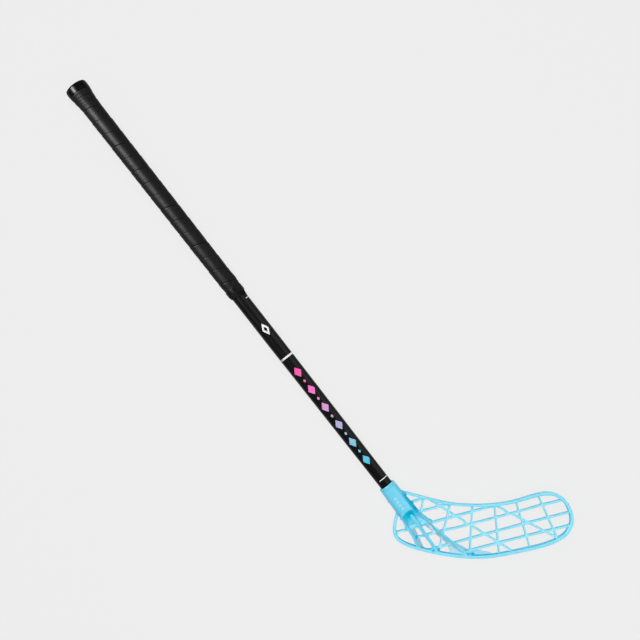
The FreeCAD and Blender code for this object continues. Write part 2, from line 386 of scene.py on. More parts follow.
class Skin:
    """Meshes over grids of points.

    Attributes:
        merge: Points closer than this are one.
    """

    merge = MM / 1000

    @staticmethod
    def faces(rows: int, columns: int, wrap_rows: bool) -> list[tuple[int, ...]]:
        """Quads of a grid of closed loops.

        Args:
            rows: Number of loops.
            columns: Points in a loop.
            wrap_rows: Whether the last loop meets the first.

        Returns:
            Indices of each quad's corners.
        """
        quads = []
        for row in range(rows if wrap_rows else rows - 1):
            below, above = row * columns, (row + 1) % rows * columns
            for column in range(columns):
                after = (column + 1) % columns
                quads.append((below + column, below + after, above + after, above + column))
        return quads

    @classmethod
    def build(
        cls,
        name: str,
        points: np.ndarray,
        fields: Mapping[Field, np.ndarray],
        crease: float,
        wrap_rows: bool = False,
        capped: bool = False,
    ) -> bpy.types.Object:
        """Closed mesh over rows of closed loops.

        Args:
            name: Name of the piece.
            points: Rows of points, X, Y, Z last.
            fields: Numbers or vectors for each point.
            crease: Edges that bend by more degrees than this stay sharp.
            wrap_rows: Whether the last row meets the first.
            capped: Whether flat faces close the first and last rows.

        Returns:
            The piece.
        """
        rows, columns = points.shape[:2]
        quads = cls.faces(rows, columns, wrap_rows)
        if capped:
            quads.append(tuple(range(columns)))
            quads.append(tuple(range((rows - 1) * columns, rows * columns)))
        mesh = bpy.data.meshes.new(name)
        mesh.from_pydata(points.reshape(-1, 3).tolist(), [], quads)
        for field, values in fields.items():
            cls.carry(mesh, field, values)
        cls.clean(mesh, crease)
        return add_object(name, mesh)

    @staticmethod
    def carry(mesh: bpy.types.Mesh, field: Field, values: np.ndarray) -> None:
        """Store numbers or vectors at a mesh's points.

        Args:
            mesh: The mesh.
            field: What they are.
            values: One number, or three with a last axis of 3, for each point.
        """
        vectors = values.ndim > 1 and values.shape[-1] == 3
        kind, name = ("FLOAT_VECTOR", "vector") if vectors else ("FLOAT", "value")
        attribute = mesh.attributes.new(field.value, kind, "POINT")
        attribute.data.foreach_set(name, np.ascontiguousarray(values, np.float32).ravel())

    @classmethod
    def clean(cls, mesh: bpy.types.Mesh, crease: float) -> None:
        """Merge points that meet, turn faces outward and shade smooth.

        Args:
            mesh: The mesh.
            crease: Edges that bend by more degrees than this stay sharp.
        """
        work = bmesh.new()
        work.from_mesh(mesh)
        bmesh.ops.remove_doubles(work, verts=work.verts, dist=cls.merge)
        bmesh.ops.recalc_face_normals(work, faces=work.faces)
        work.to_mesh(mesh)
        work.free()
        mesh.shade_smooth()
        mesh.set_sharp_from_angle(angle=math.radians(crease))

    @classmethod
    def lathe(
        cls, name: str, axis: Axis, profile: np.ndarray, segments: int, closed: bool, crease: float
    ) -> bpy.types.Object:
        """Piece turned about the shaft's axis.

        Args:
            name: Name of the piece.
            axis: The shaft's axis.
            profile: Distance from the butt and radius of each point.
            segments: Points round the axis.
            closed: Whether the profile is a loop, as of a tube.
            crease: Edges that bend by more degrees than this stay sharp.

        Returns:
            The piece.
        """
        along, turns = np.meshgrid(profile[:, 0], np.arange(segments) / segments - 0.5, indexing="ij")
        points = axis.points(along, turns, np.broadcast_to(profile[:, 1:2], along.shape))
        fields = {Field.ALONG: along.ravel(), Field.TURN: turns.ravel()}
        return cls.build(name, points, fields, crease, wrap_rows=closed)


def rounded(corners: Sequence[tuple[float, float, float]], steps: int) -> np.ndarray:
    """Profile with rounded corners.

    Args:
        corners: Distance from the butt, radius, and size of the rounding at each corner.
        steps: Points on each rounding.

    Returns:
        Distance and radius of each point.
    """
    points: list[np.ndarray] = []
    for index, (along, radius, size) in enumerate(corners):
        here = np.array((along, radius))
        if size == 0:
            points.append(here)
            continue
        ends = []
        for neighbour in (corners[index - 1], corners[index + 1]):
            way = np.array(neighbour[:2]) - here
            ends.append(here + way * min(size / np.linalg.norm(way), 0.5))
        for share in np.linspace(0.0, 1.0, steps):
            points.append((1 - share) ** 2 * ends[0] + 2 * share * (1 - share) * here + share**2 * ends[1])
    return np.array(points)


@dataclass(frozen=True)
class BladePlastic:
    """Glossy light blue moulding, with painted highlights on its ribs, painted shade and glow in its corners,
    greyish painted light through its slim walls.

    Attributes:
        body: Plain colour.
        rib_highlight: Painted highlight on the ribs' fronts, which face up.
        shade_tint: Colour of the painted shade in corners and on shaded places.
        hollow: Colour of the painted shade in the hollow of the trough.
        panel: Colour of the trough's floor, a little darker with painted shade for its recess.
        light_through: Greyish painted light through walls that let some light through.
        clear: Near-white painted light through walls that let most light through.
        mark: Lozenges on the neck.
        inner: Colour of the painted glow in the corners, standing in for light passed through the plastic.
        glow: Strength of that painted glow.
        corner_shade: How strong the painted shade in a tight corner is.
        flow_scale: Clouds of the moulding's flow in a metre.
        grain_scale: Grains in a metre.
        grain_depth: Depth of the grain.
    """

    body: Colour = srgb(120, 213, 240)
    # Painted highlight colour for the ribs' upward fronts
    rib_highlight: Colour = srgb(150, 231, 254)
    # Painted shade colours: for shaded places, and for the trough's hollow
    shade_tint: Colour = srgb(0, 184, 224)
    hollow: Colour = srgb(0, 211, 233)
    # Painted shade colour for the trough's recessed floor
    panel: Colour = srgb(120, 202, 219)
    # Painted light through slim walls: greyish, then near white
    light_through: Colour = srgb(178, 216, 229)
    clear: Colour = srgb(240, 250, 253)
    mark: Colour = srgb(176, 228, 244)
    inner: Colour = srgb(112, 202, 214)
    glow: float = 0.2
    corner_shade: float = 0.35
    flow_scale: float = 55.0
    grain_scale: float = 2600.0
    grain_depth: float = 0.04 * MM

    def material(self) -> bpy.types.Material:
        """Build the finish.

        Returns:
            The material.
        """
        graph = Graph("moulded_blade_plastic")
        place = graph.place()
        flow = graph.noise(place, self.flow_scale, 3.0)
        # Painted shade and painted glow in the closed-in corners
        corner = graph.field(Field.CAVITY)
        shade = graph.field(Field.SHADE).most(corner * self.corner_shade)
        floor, light_through = graph.field(Field.FLOOR), graph.field(Field.LIGHT_THROUGH)
        # Painted highlight: the ribs' upward fronts take a lighter colour
        colour = graph.mix(graph.field(Field.RIB_HIGHLIGHT), self.body, self.rib_highlight)
        # Painted shade: the trough's recessed floor takes the darker panel colour
        colour = graph.mix(floor, colour, self.panel)
        # Painted light: slim walls and webs take pale colours for the light coming through them
        colour = graph.mix(light_through.step(0.0, 0.5), colour, self.light_through)
        colour = graph.mix(light_through.step(0.5, 1.0), colour, self.clear)
        colour = graph.mix(graph.field(Field.MARK), colour, self.mark)
        # Painted shade: shaded places take the shade colour, in the trough the hollow's
        colour = graph.mix(shade + flow.about(0.0, 0.12), colour, graph.mix(floor, self.shade_tint, self.hollow))
        grain = graph.noise(place, self.grain_scale)
        return graph.surface({
            "Base Color": colour,
            "Roughness": flow.about(0.34, 0.14) + shade * 0.45,
            "Normal": graph.bump(grain, self.grain_depth, 0.35),
            # Painted glow: corners outside the painted shade emit the inner colour though no lamp is there
            "Emission Color": graph.mix(corner * (1 - shade), BLACK, self.inner),
            "Emission Strength": self.glow,
            "Subsurface Weight": 0.7,
            "Subsurface Radius": (0.35, 0.9, 1.0),
            "Subsurface Scale": 4.0 * MM,
            "Specular IOR Level": 0.25,
        })


@dataclass(frozen=True)
class GripFoam:
    """Black soft tape with fine pressed pores, with painted shade in the pores and in the valleys between the
    turns.

    Attributes:
        face: Colour of the raised face.
        valley_shade: Colour of the painted shade in valleys and pores.
        pore_pitch: Distance between pores.
        pore_depth: Their depth.
        cloud_scale: Clouds of polish in a metre.
        grain_scale: Grains in a metre.
    """

    face: Colour = srgb(13, 13, 14)
    # Painted shade colour for the valleys and pores
    valley_shade: Colour = srgb(5, 5, 6)
    pore_pitch: float = 1.7 * MM
    pore_depth: float = 0.16 * MM
    cloud_scale: float = 38.0
    grain_scale: float = 2400.0

    def material(self) -> bpy.types.Material:
        """Build the finish.

        Returns:
            The material.
        """
        graph = Graph("soft_grip_foam")
        strip = graph.field(Field.STRIP, "Vector")
        cells = graph.node(
            "ShaderNodeTexVoronoi",
            {"feature": "F1", "distance": "EUCLIDEAN"},
            {"Vector": strip, "Scale": 1 / self.pore_pitch, "Randomness": 0.15},
            "Distance",
        )
        pores = cells.step(0.16, 0.42)
        cloud = graph.noise(graph.place(), self.cloud_scale, 4.0)
        # Painted shade: the low parts of each turn take the darker colour
        colour = graph.mix(graph.field(Field.HEIGHT).step(0.45, 0.9), self.valley_shade, self.face)
        grain = graph.noise(strip, self.grain_scale, 3.0)
        return graph.surface({
            # Painted shade in the pores as well
            "Base Color": graph.mix((1 - pores) * 0.5, colour, self.valley_shade),
            "Roughness": cloud.about(0.44, 0.2) + (1 - pores) * 0.15,
            "Normal": graph.bump(pores * 0.75 + grain * 0.25, self.pore_depth, 0.6),
            "Specular IOR Level": 0.07,
        })


@dataclass(frozen=True)
class ShaftLacquer:
    """Black lacquer printed with a ring, two short lines, an open lozenge and a row of lozenges.

    Attributes:
        black: Colour of the lacquer.
        white: Ring, lines and open lozenge where they face up.
        white_in_shade: The same prints with painted shade, on the heel side.
        inks: Colours along the row, from pink to cyan.
        ring_place: Middle of the ring, from the butt, as for the other places.
        ring_width: Width of the ring.
        line_places: Middle of each short line.
        line_turns: Turns between which each short line shows.
        line_width: Width of the short lines.
        sign_place: Middle of the open lozenge.
        sign_length: Its length.
        sign_side: How far it sits to the toe side.
        row_start: Where the row starts.
        row_end: Where it ends.
        row_count: Lozenges in the row.
        lozenge_length: Length of a lozenge.
        lozenge_width: Its width round the tube.
        bead_share: Size of the small lozenges between them.
        tube_radius: Radius at which widths are right.
        edge: Softness of the print.
        white_shade_turns: Turns at which the white starts to take that painted shade and has it fully.
        sign_line: Where the open lozenge's line runs, as a share of the way out.
        sign_half: Half of its width, to its soft edge's end and start.
        cloud_scale: Clouds of polish in a metre.
        peel_scale: Waves of the lacquer in a metre.
        peel_depth: Their depth.
    """

    black: Colour = srgb(13, 13, 15)
    white: Colour = srgb(240, 241, 243)
    # Painted shade colour for the prints on the heel side
    white_in_shade: Colour = srgb(150, 152, 155)
    inks: tuple[Colour, ...] = (
        srgb(254, 77, 164), srgb(246, 117, 196), srgb(197, 167, 216), srgb(128, 198, 222), srgb(55, 196, 228),
    )
    ring_place: float = 509.9 * MM
    ring_width: float = 2.6 * MM
    line_places: tuple[float, ...] = mm(404.2, 738.9)
    line_turns: tuple[Stretch, ...] = ((0.105, 0.11, 0.29, 0.3), (-0.075, -0.07, 0.29, 0.3))
    line_width: float = 0.9 * MM
    sign_place: float = 458.4 * MM
    sign_length: float = 21.0 * MM
    sign_side: float = 1.5 * MM
    row_start: float = 521.0 * MM
    row_end: float = 718.0 * MM
    row_count: int = 6
    lozenge_length: float = 17.0 * MM
    lozenge_width: float = 12.0 * MM
    bead_share: float = 0.34
    tube_radius: float = 10.3 * MM
    edge: float = 0.25 * MM
    white_shade_turns: Stretch = (-0.02, -0.2)
    sign_line: float = 0.72
    sign_half: Stretch = (0.3, 0.24)
    cloud_scale: float = 70.0
    peel_scale: float = 420.0
    peel_depth: float = 0.05 * MM

    def material(self) -> bpy.types.Material:
        """Build the finish.

        Returns:
            The material.
        """
        graph = Graph("printed_shaft_lacquer")
        along, turn = graph.field(Field.ALONG), graph.field(Field.TURN)
        arc = turn * (math.tau * self.tube_radius)
        white = self.ring(along, self.ring_place, self.ring_width)
        for place, turns in zip(self.line_places, self.line_turns):
            white = white.most(self.ring(along, place, self.line_width) * turn.band(turns))
        white = white.most(self.sign(abs(along - self.sign_place), abs(arc - self.sign_side)))
        # Painted shade: the prints take a greyer colour towards the heel side
        paint = graph.mix(turn.step(*self.white_shade_turns), self.white, self.white_in_shade)
        stops = [(index / (len(self.inks) - 1), ink) for index, ink in enumerate(self.inks)]
        share = (along - self.row_start) / (self.row_end - self.row_start)
        ink = graph.node("ShaderNodeValToRGB", {"stops": stops}, {"Fac": share})
        colour = graph.mix(white, self.black, paint)
        cloud = graph.noise(graph.place(), self.cloud_scale, 4.0)
        peel = graph.noise(graph.place(), self.peel_scale, 1.0)
        return graph.surface({
            "Base Color": graph.mix(self.row(along, arc), colour, ink),
            "Roughness": cloud.about(0.24, 0.1),
            "Normal": graph.bump(peel, self.peel_depth, 0.25),
            "Specular IOR Level": 0.08,
        })

    def ring(self, along: Wire, place: float, width: float) -> Wire:
        """Mask of a ring round the tube, of that width about that place."""
        return abs(along - place).step(width / 2 + self.edge, width / 2)

    def row(self, along: Wire, arc: Wire) -> Wire:
        """Mask of the row of lozenges, with small ones between them.

        Args:
            along: Distance from the butt.
            arc: Distance round the shaft from its top.

        Returns:
            1 on the lozenges.
        """
        pitch = (self.row_end - self.row_start) / self.row_count
        cell = abs(((along - self.row_start) / pitch).fraction() - 0.5)
        masks = []
        for reach, size, inset in ((cell, 1.0, 0.0), (0.5 - cell, self.bead_share, pitch / 4)):
            start, end = self.row_start + inset, self.row_end - inset
            within = along.band((start, start + self.edge, end - self.edge, end))
            masks.append(self.lozenge(reach * pitch, arc, size) * within)
        return masks[0].most(masks[1])

    def lozenge(self, along: Wire, arc: Wire, size: float) -> Wire:
        """Mask of a lozenge.

        Args:
            along: Distance from its middle along the shaft.
            arc: Distance from its middle round the shaft.
            size: Share of the full size.

        Returns:
            1 on the lozenge.
        """
        reach = along / (self.lozenge_length / 2 * size) + abs(arc) / (self.lozenge_width / 2 * size)
        soft = 2 * self.edge / (self.lozenge_width * size)
        return reach.step(1 + soft, 1 - soft)

    def sign(self, along: Wire, arc: Wire) -> Wire:
        """Mask of a slim lozenge with an open middle, from the distances to its middle."""
        reach = along / (self.sign_length / 2) + arc / (self.sign_length / 4)
        return abs(reach - self.sign_line).step(*self.sign_half)


@dataclass(frozen=True)
class CapRubber:
    """Smooth black rubber with a soft shine, paler in worn clouds.

    Attributes:
        black: Colour of the rubber.
        worn: Colour where it is worn.
        cloud_scale: Clouds of wear in a metre.
        grain_scale: Grains in a metre.
        grain_depth: Depth of the grain.
    """

    black: Colour = srgb(10, 10, 11)
    worn: Colour = srgb(18, 18, 19)
    cloud_scale: float = 60.0
    grain_scale: float = 1500.0
    grain_depth: float = 0.05 * MM

    def material(self) -> bpy.types.Material:
        """Build the finish.

        Returns:
            The material.
        """
        graph = Graph("smooth_cap_rubber")
        place = graph.place()
        cloud = graph.noise(place, self.cloud_scale, 4.0)
        return graph.surface({
            "Base Color": graph.mix(cloud.step(0.5, 0.75), self.black, self.worn),
            "Roughness": cloud.about(0.24, 0.2),
            "Normal": graph.bump(graph.noise(place, self.grain_scale), self.grain_depth, 0.4),
            "Specular IOR Level": 0.055,
        })


@dataclass(frozen=True)
class BandVinyl:
    """Stretched black vinyl tape with fine pull lines and painted shade in the fold where it drops to the
    shaft.

    Attributes:
        black: Colour of the tape.
        pale: Colour of its pull lines.
        fold: Colour of the painted shade in the fold where it drops to the shaft.
        pull_along: Pull lines in a metre.
        pull_round: Their changes in a turn.
        pull_depth: Their depth.
    """

    black: Colour = srgb(10, 10, 11)
    pale: Colour = srgb(20, 20, 21)
    # Painted shade colour for the fold
    fold: Colour = srgb(2, 2, 2)
    pull_along: float = 900.0
    pull_round: float = 27.0
    pull_depth: float = 0.18 * MM

    def material(self) -> bpy.types.Material:
        """Build the finish.

        Returns:
            The material.
        """
        graph = Graph("stretched_band_vinyl")
        along, turn = graph.field(Field.ALONG), graph.field(Field.TURN)
        lines = {"X": along * self.pull_along, "Y": turn * self.pull_round}
        pull = graph.noise(graph.node("ShaderNodeCombineXYZ", None, lines), 1.0, 4.0)
        height = graph.field(Field.HEIGHT)
        colour = graph.mix(pull.step(0.45, 0.8), self.black, self.pale)
        return graph.surface({
            # Painted shade in the fold, where the carried height field falls to 0
            "Base Color": graph.mix(height, self.fold, colour),
            "Roughness": pull.about(0.33, 0.25) + (1 - height) * 0.4,
            "Normal": graph.bump(pull, self.pull_depth, 0.5),
            "Specular IOR Level": 0.06,
        })


@dataclass(frozen=True)
class ScrewSteel:
    """Steel painted in the blade's blue, bare where the driver wore it.

    Attributes:
        paint: Colour of the paint.
        bright: Colour of the bare steel.
        cloud_scale: Worn spots in a metre.
        scratch_scale: Scratches in a metre.
        scratch_depth: Their depth.
    """

    paint: Colour = srgb(208, 246, 254)
    bright: Colour = srgb(196, 200, 204)
    cloud_scale: float = 900.0
    scratch_scale: float = 5200.0
    scratch_depth: float = 0.02 * MM

    def material(self) -> bpy.types.Material:
        """Build the finish.

        Returns:
            The material.
        """
        graph = Graph("painted_screw_steel")
        place = graph.place()
        cloud = graph.noise(place, self.cloud_scale, 3.0)
        worn = cloud.step(0.62, 0.7)
        return graph.surface({
            "Base Color": graph.mix(worn, self.paint, self.bright),
            "Metallic": worn,
            "Roughness": cloud.about(0.32, 0.2),
            "Normal": graph.bump(graph.noise(place, self.scratch_scale), self.scratch_depth, 0.4),
        })


def dress(piece: bpy.types.Object, material: bpy.types.Material, node: Node) -> None:
    """Give a piece its finish, tie it to the stick and let it stand for its CAD node.

    Args:
        piece: The piece.
        material: Its finish.
        node: The CAD node that it replaces.
    """
    piece.data.materials.clear()
    piece.data.materials.append(material)
    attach(piece, "root")
    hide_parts(node.value)
    LOG.info("%s: %d faces", piece.name, len(piece.data.polygons))


@dataclass
class Shaft:
    """Tapered lacquered tube.

    Attributes:
        axis: The shaft's axis.
        butt_radius: Outer radius in the cap.
        clip_radius: Outer radius of the parallel stretch below the grip.
        blade_radius: Outer radius in the blade's socket.
        wall: Thickness of the tube.
        clip_start: Where the parallel stretch starts, from the butt.
        clip_end: Where it ends.
        socket_start: Where the tube goes into the blade.
        segments: Points round the tube.
        step: Length of its facets.
        crease: Edges that bend by more degrees than this stay sharp.
    """

    axis: Axis
    butt_radius: float = 11.8 * MM
    clip_radius: float = 11.0 * MM
    blade_radius: float = 9.6 * MM
    wall: float = 1.5 * MM
    clip_start: float = 403.0 * MM
    clip_end: float = 477.0 * MM
    socket_start: float = 750.3 * MM
    segments: int = 128
    step: float = 6.0 * MM
    crease: float = 40.0

    def radius(self, along: np.ndarray) -> np.ndarray:
        """Outer radius at places along the shaft.

        Args:
            along: Distances from the butt.

        Returns:
            The radii.
        """
        places = (self.axis.span(Node.SHAFT)[0], self.clip_start, self.clip_end, self.socket_start)
        radii = (self.butt_radius, self.clip_radius, self.clip_radius, self.blade_radius)
        return np.interp(along, places, radii)

    def build(self) -> None:
        """Turn the tube with its bore and finish it."""
        start, end = self.axis.span(Node.SHAFT)
        along = np.linspace(start, end, int((end - start) / self.step))
        outer = np.column_stack([along, self.radius(along)])
        profile = np.vstack([outer, outer[::-1] - (0.0, self.wall)])
        piece = Skin.lathe("shaft_tube", self.axis, profile, self.segments, True, self.crease)
        dress(piece, ShaftLacquer().material(), Node.SHAFT)


@dataclass
class ButtCap:
    """Knob on the butt with a rounded end, a groove before the tape and a plug in the tube.

    Attributes:
        axis: The shaft's axis.
        radius: Radius of the knob.
        edge_round: Rounding of the flat end.
        waist: How much narrower the knob's ends are.
        head_length: Length of the knob.
        crown: Share of that length at which it is widest.
        dish: How far the end's middle is sunk.
        dish_radius: Radius of the sunk middle.
        dish_round: Rounding of its edge.
        lip: Rounding of the knob's inner edge.
        flare_radius: Radius of the skirt at the knob.
        flare_length: Length over which the skirt narrows.
        skirt_radius: Radius of the rest of the skirt.
        skirt_end: Where the skirt ends, from the butt.
        bore_radius: Radius of the skirt's bore.
        end_wall: Where the groove for the tube starts.
        plug_radius: Radius of the plug.
        plug_end: Where the plug ends.
        segments: Points round the cap.
        round_steps: Points on a rounding.
        crease: Edges that bend by more degrees than this stay sharp.
    """

    axis: Axis
    radius: float = 17.5 * MM
    edge_round: float = 6.5 * MM
    waist: float = 0.5 * MM
    head_length: float = 12.9 * MM
    crown: float = 0.6
    dish: float = 0.5 * MM
    dish_radius: float = 8.0 * MM
    dish_round: float = 1.0 * MM
    lip: float = 0.25 * MM
    flare_radius: float = 14.3 * MM
    flare_length: float = 9.0 * MM
    skirt_radius: float = 12.3 * MM
    skirt_end: float = 41.5 * MM
    bore_radius: float = 11.9 * MM
    end_wall: float = 7.5 * MM
    plug_radius: float = 10.1 * MM
    plug_end: float = 33.5 * MM
    segments: int = 128
    round_steps: int = 9
    crease: float = 50.0

    def build(self) -> None:
        """Turn the cap and finish it."""
        profile = rounded([
            (self.dish, 0.0, 0.0),
            (self.dish, self.dish_radius - self.dish, self.dish_round),
            (0.0, self.dish_radius + self.dish, self.dish_round),
            (0.0, self.radius - self.waist, self.edge_round),
            (self.head_length * self.crown, self.radius, self.edge_round),
            (self.head_length, self.radius - self.waist, self.lip),
            (self.head_length, self.flare_radius, 0.0),
            (self.head_length + self.flare_length, self.skirt_radius, 0.0),
            (self.skirt_end, self.skirt_radius, 0.0),
            (self.skirt_end, self.bore_radius, 0.0),
            (self.end_wall, self.bore_radius, 0.0),
            (self.end_wall, self.plug_radius, 0.0),
            (self.plug_end, self.plug_radius, 0.0),
            (self.plug_end, 0.0, 0.0),
        ], self.round_steps)
        piece = Skin.lathe("butt_knob", self.axis, profile, self.segments, False, self.crease)
        dress(piece, CapRubber().material(), Node.BUTT_CAP)


@dataclass
class GripTape:
    """One long strip wound over the cap's skirt and the shaft, each turn lapped over the one before.

    Attributes:
        shaft: The tube under the tape.
        close_turns: Narrow turns on the cap's skirt.
        wide_turns: Turns on the shaft.
        close_length: Length that the narrow turns take.
        gap: Space that the CAD strip leaves at its end.
        lead_in: Turns of the strip's start under the first lap.
        cut_off: Share of a turn that the strip's end is short of a full one.
        thickness: Thickness of the tape.
        rise: How much more the lapped edge stands up.
        bed: Room between the tape and what it lies on.
        skirt_radius: Radius of the cap's skirt with its room.
        flare_rise: How much wider the skirt is at the knob.
        flare_length: Length over which it narrows.
        flare_power: How fast it narrows at first.
        close_share: Share of the height that is left on the skirt.
        ease_length: Length over which the full height comes back.
        stretch: Share of the height that the pull takes towards the blade.
        tail_length: Length over which the tape is pressed down before the band.
        tail_past: Length past the band's start at which it is fully pressed.
        tail_share: Share of the height that is left under the band.
        band_overlap: How far the band covers the tape.
        full_width: Width of a turn at which its edges have their full size.
        wander: How far the lapped edge strays.
        wander_waves: Rate and phase of each wave in that, in radians.
        uneven_waves: Share of the height, rate and phase of each wave in it.
        lump: Height of the bulge near the end, on the toe side.
        lump_place: Its middle, from the butt.
        lump_length: Its length.
        lump_turn: Its reach, in turns.
        steps: Cross sections in a turn.
        crease: Edges that bend by more degrees than this stay sharp.
    """

    shaft: Shaft
    close_turns: int = 3
    wide_turns: int = 15
    close_length: float = 29.0 * MM
    gap: float = 0.6 * MM
    lead_in: float = 0.88
    cut_off: float = 0.05
    thickness: float = 2.12 * MM
    rise: float = 0.4 * MM
    bed: float = 0.1 * MM
    skirt_radius: float = 12.4 * MM
    flare_rise: float = 2.9 * MM
    flare_length: float = 30.0 * MM
    flare_power: float = 1.6
    close_share: float = 0.7
    ease_length: float = 25.0 * MM
    stretch: float = 0.12
    tail_length: float = 14.0 * MM
    tail_past: float = 2.0 * MM
    tail_share: float = 0.55
    band_overlap: float = 11.0 * MM
    full_width: float = 8.0 * MM
    wander: float = 0.28 * MM
    wander_waves: tuple[tuple[float, float], ...] = ((2.3, 0.4), (5.9, 1.7))
    uneven_waves: tuple[tuple[float, float, float], ...] = ((0.035, 3.7, 0.0), (0.03, 9.1, 0.8))
    lump: float = 0.9 * MM
    lump_place: float = 369.0 * MM
    lump_length: float = 7.0 * MM
    lump_turn: float = 0.13
    steps: int = 60
    crease: float = 70.0

    def ends(self) -> tuple[float, float]:
        """First and last place of the winding, from the butt."""
        return self.shaft.axis.span(Node.GRIP_TAPE)

    def edge(self, turns: np.ndarray) -> np.ndarray:
        """Places of the strip's lapped edge.

        Args:
            turns: Turns counted from the cap.

        Returns:
            Distances from the butt.
        """
        start, end = self.ends()
        counts = (0, self.close_turns, self.close_turns + self.wide_turns)
        return np.interp(turns, counts, (start, start + self.close_length, end + self.gap))

    def bed_radius(self, along: np.ndarray) -> np.ndarray:
        """Radius that the tape lies on.

        Args:
            along: Distances from the butt.

        Returns:
            The radii: the cap's flared skirt, then a turn later the tube.
        """
        start, end = self.ends()
        pitch = (end - start - self.close_length) / self.wide_turns
        left = 1 - np.clip((along - start) / self.flare_length, 0.0, 1.0)
        skirt = self.skirt_radius + self.flare_rise * left**self.flare_power
        share = np.clip((along - start - self.close_length) / pitch, 0.0, 1.0)
        return (1 - share) * skirt + share * self.shaft.radius(along)

    def pressed(self, along: np.ndarray) -> np.ndarray:
        """Share of the tape's height that is left where it is pulled tight or pressed.

        Args:
            along: Distances from the butt.

        Returns:
            The share: less over the cap, a little less towards the blade, least under the finishing tape.
        """
        start, end = self.ends()
        skirt_end, band_start = start + self.close_length, end - self.band_overlap
        eased = smooth_share(along, skirt_end, skirt_end + self.ease_length)
        close = self.close_share + (1 - self.close_share) * eased
        pull = 1 - self.stretch * np.clip((along - skirt_end) / (band_start - skirt_end), 0.0, 1.0)
        tail = smooth_share(along, band_start - self.tail_length, band_start + self.tail_past)
        return close * np.minimum(pull, 1 - (1 - self.tail_share) * tail)

    def section(self, widths: np.ndarray) -> tuple[np.ndarray, np.ndarray]:
        """Closed outline of the strip across its width.

        Args:
            widths: Distance to the next turn's edge at each cross section.

        Returns:
            Distance from the lapped edge, and share of the crest's height, for each cross section and point.
        """
        low = self.thickness / (self.thickness + self.rise)
        lap = np.clip(widths / self.full_width, 0.05, 1.0)
        near = [(-0.1, 0.1), (-0.08, 0.5), (0.1, 0.8), (0.5, 0.93), (1.1, 1.0), (1.9, 1.02), (3.0, 0.985)]
        middle = [(0.35, 0.93), (0.55, low + 0.11), (0.75, low + 0.05)]
        far = [
            (-2.6, low), (-1.3, low * 0.98), (-0.5, low * 0.95),
            (0.2, low * 0.86), (0.7, low * 0.4), (0.5, 0.06),
        ]
        under = [(0.6, 0.04), (0.25, 0.04)]
        offsets = [lap * place * MM for place, _ in near]
        offsets += [np.maximum(widths * place, lap * 3.2 * MM) for place, _ in middle]
        offsets += [widths + lap * place * MM for place, _ in far]
        offsets += [widths * place for place, _ in under]
        heights = np.array([height for _, height in near + middle + far + under])
        return np.stack(offsets, axis=1), np.broadcast_to(heights, (len(widths), len(heights)))

    def build(self) -> None:
        """Wind the strip and finish it."""
        first, last = -self.lead_in, self.close_turns + self.wide_turns - self.cut_off
        turns = np.linspace(first, last, int((last - first) * self.steps))
        start = self.edge(turns)
        offsets, heights = self.section(self.edge(turns + 1) - start)
        stray = sum(np.sin(rate * turns + phase) for rate, phase in self.wander_waves)
        start = start + self.wander * stray * smooth_share(turns, 0.0, 1.5)
        uneven = np.ones(len(turns))
        for size, rate, phase in self.uneven_waves:
            uneven += size * np.sin(rate * turns + phase)
        along = np.clip(start[:, None] + offsets, *self.ends())
        aside = (turns % 1.0 - 0.25)[:, None] / self.lump_turn
        lump = self.lump * np.exp(-(((along - self.lump_place) / self.lump_length) ** 2) - aside**2)
        height = ((self.thickness + self.rise) * uneven[:, None] * self.pressed(along) + lump) * heights
        around = np.broadcast_to(turns[:, None], along.shape)
        points = self.shaft.axis.points(along, around, self.bed_radius(along) + self.bed + height)
        strip = np.stack([around * math.tau * self.skirt_radius, offsets, 0 * offsets], axis=-1)
        fields = {Field.STRIP: strip, Field.HEIGHT: heights.ravel()}
        piece = Skin.build("wound_grip", points, fields, self.crease, capped=True)
        dress(piece, GripFoam().material(), Node.GRIP_TAPE)


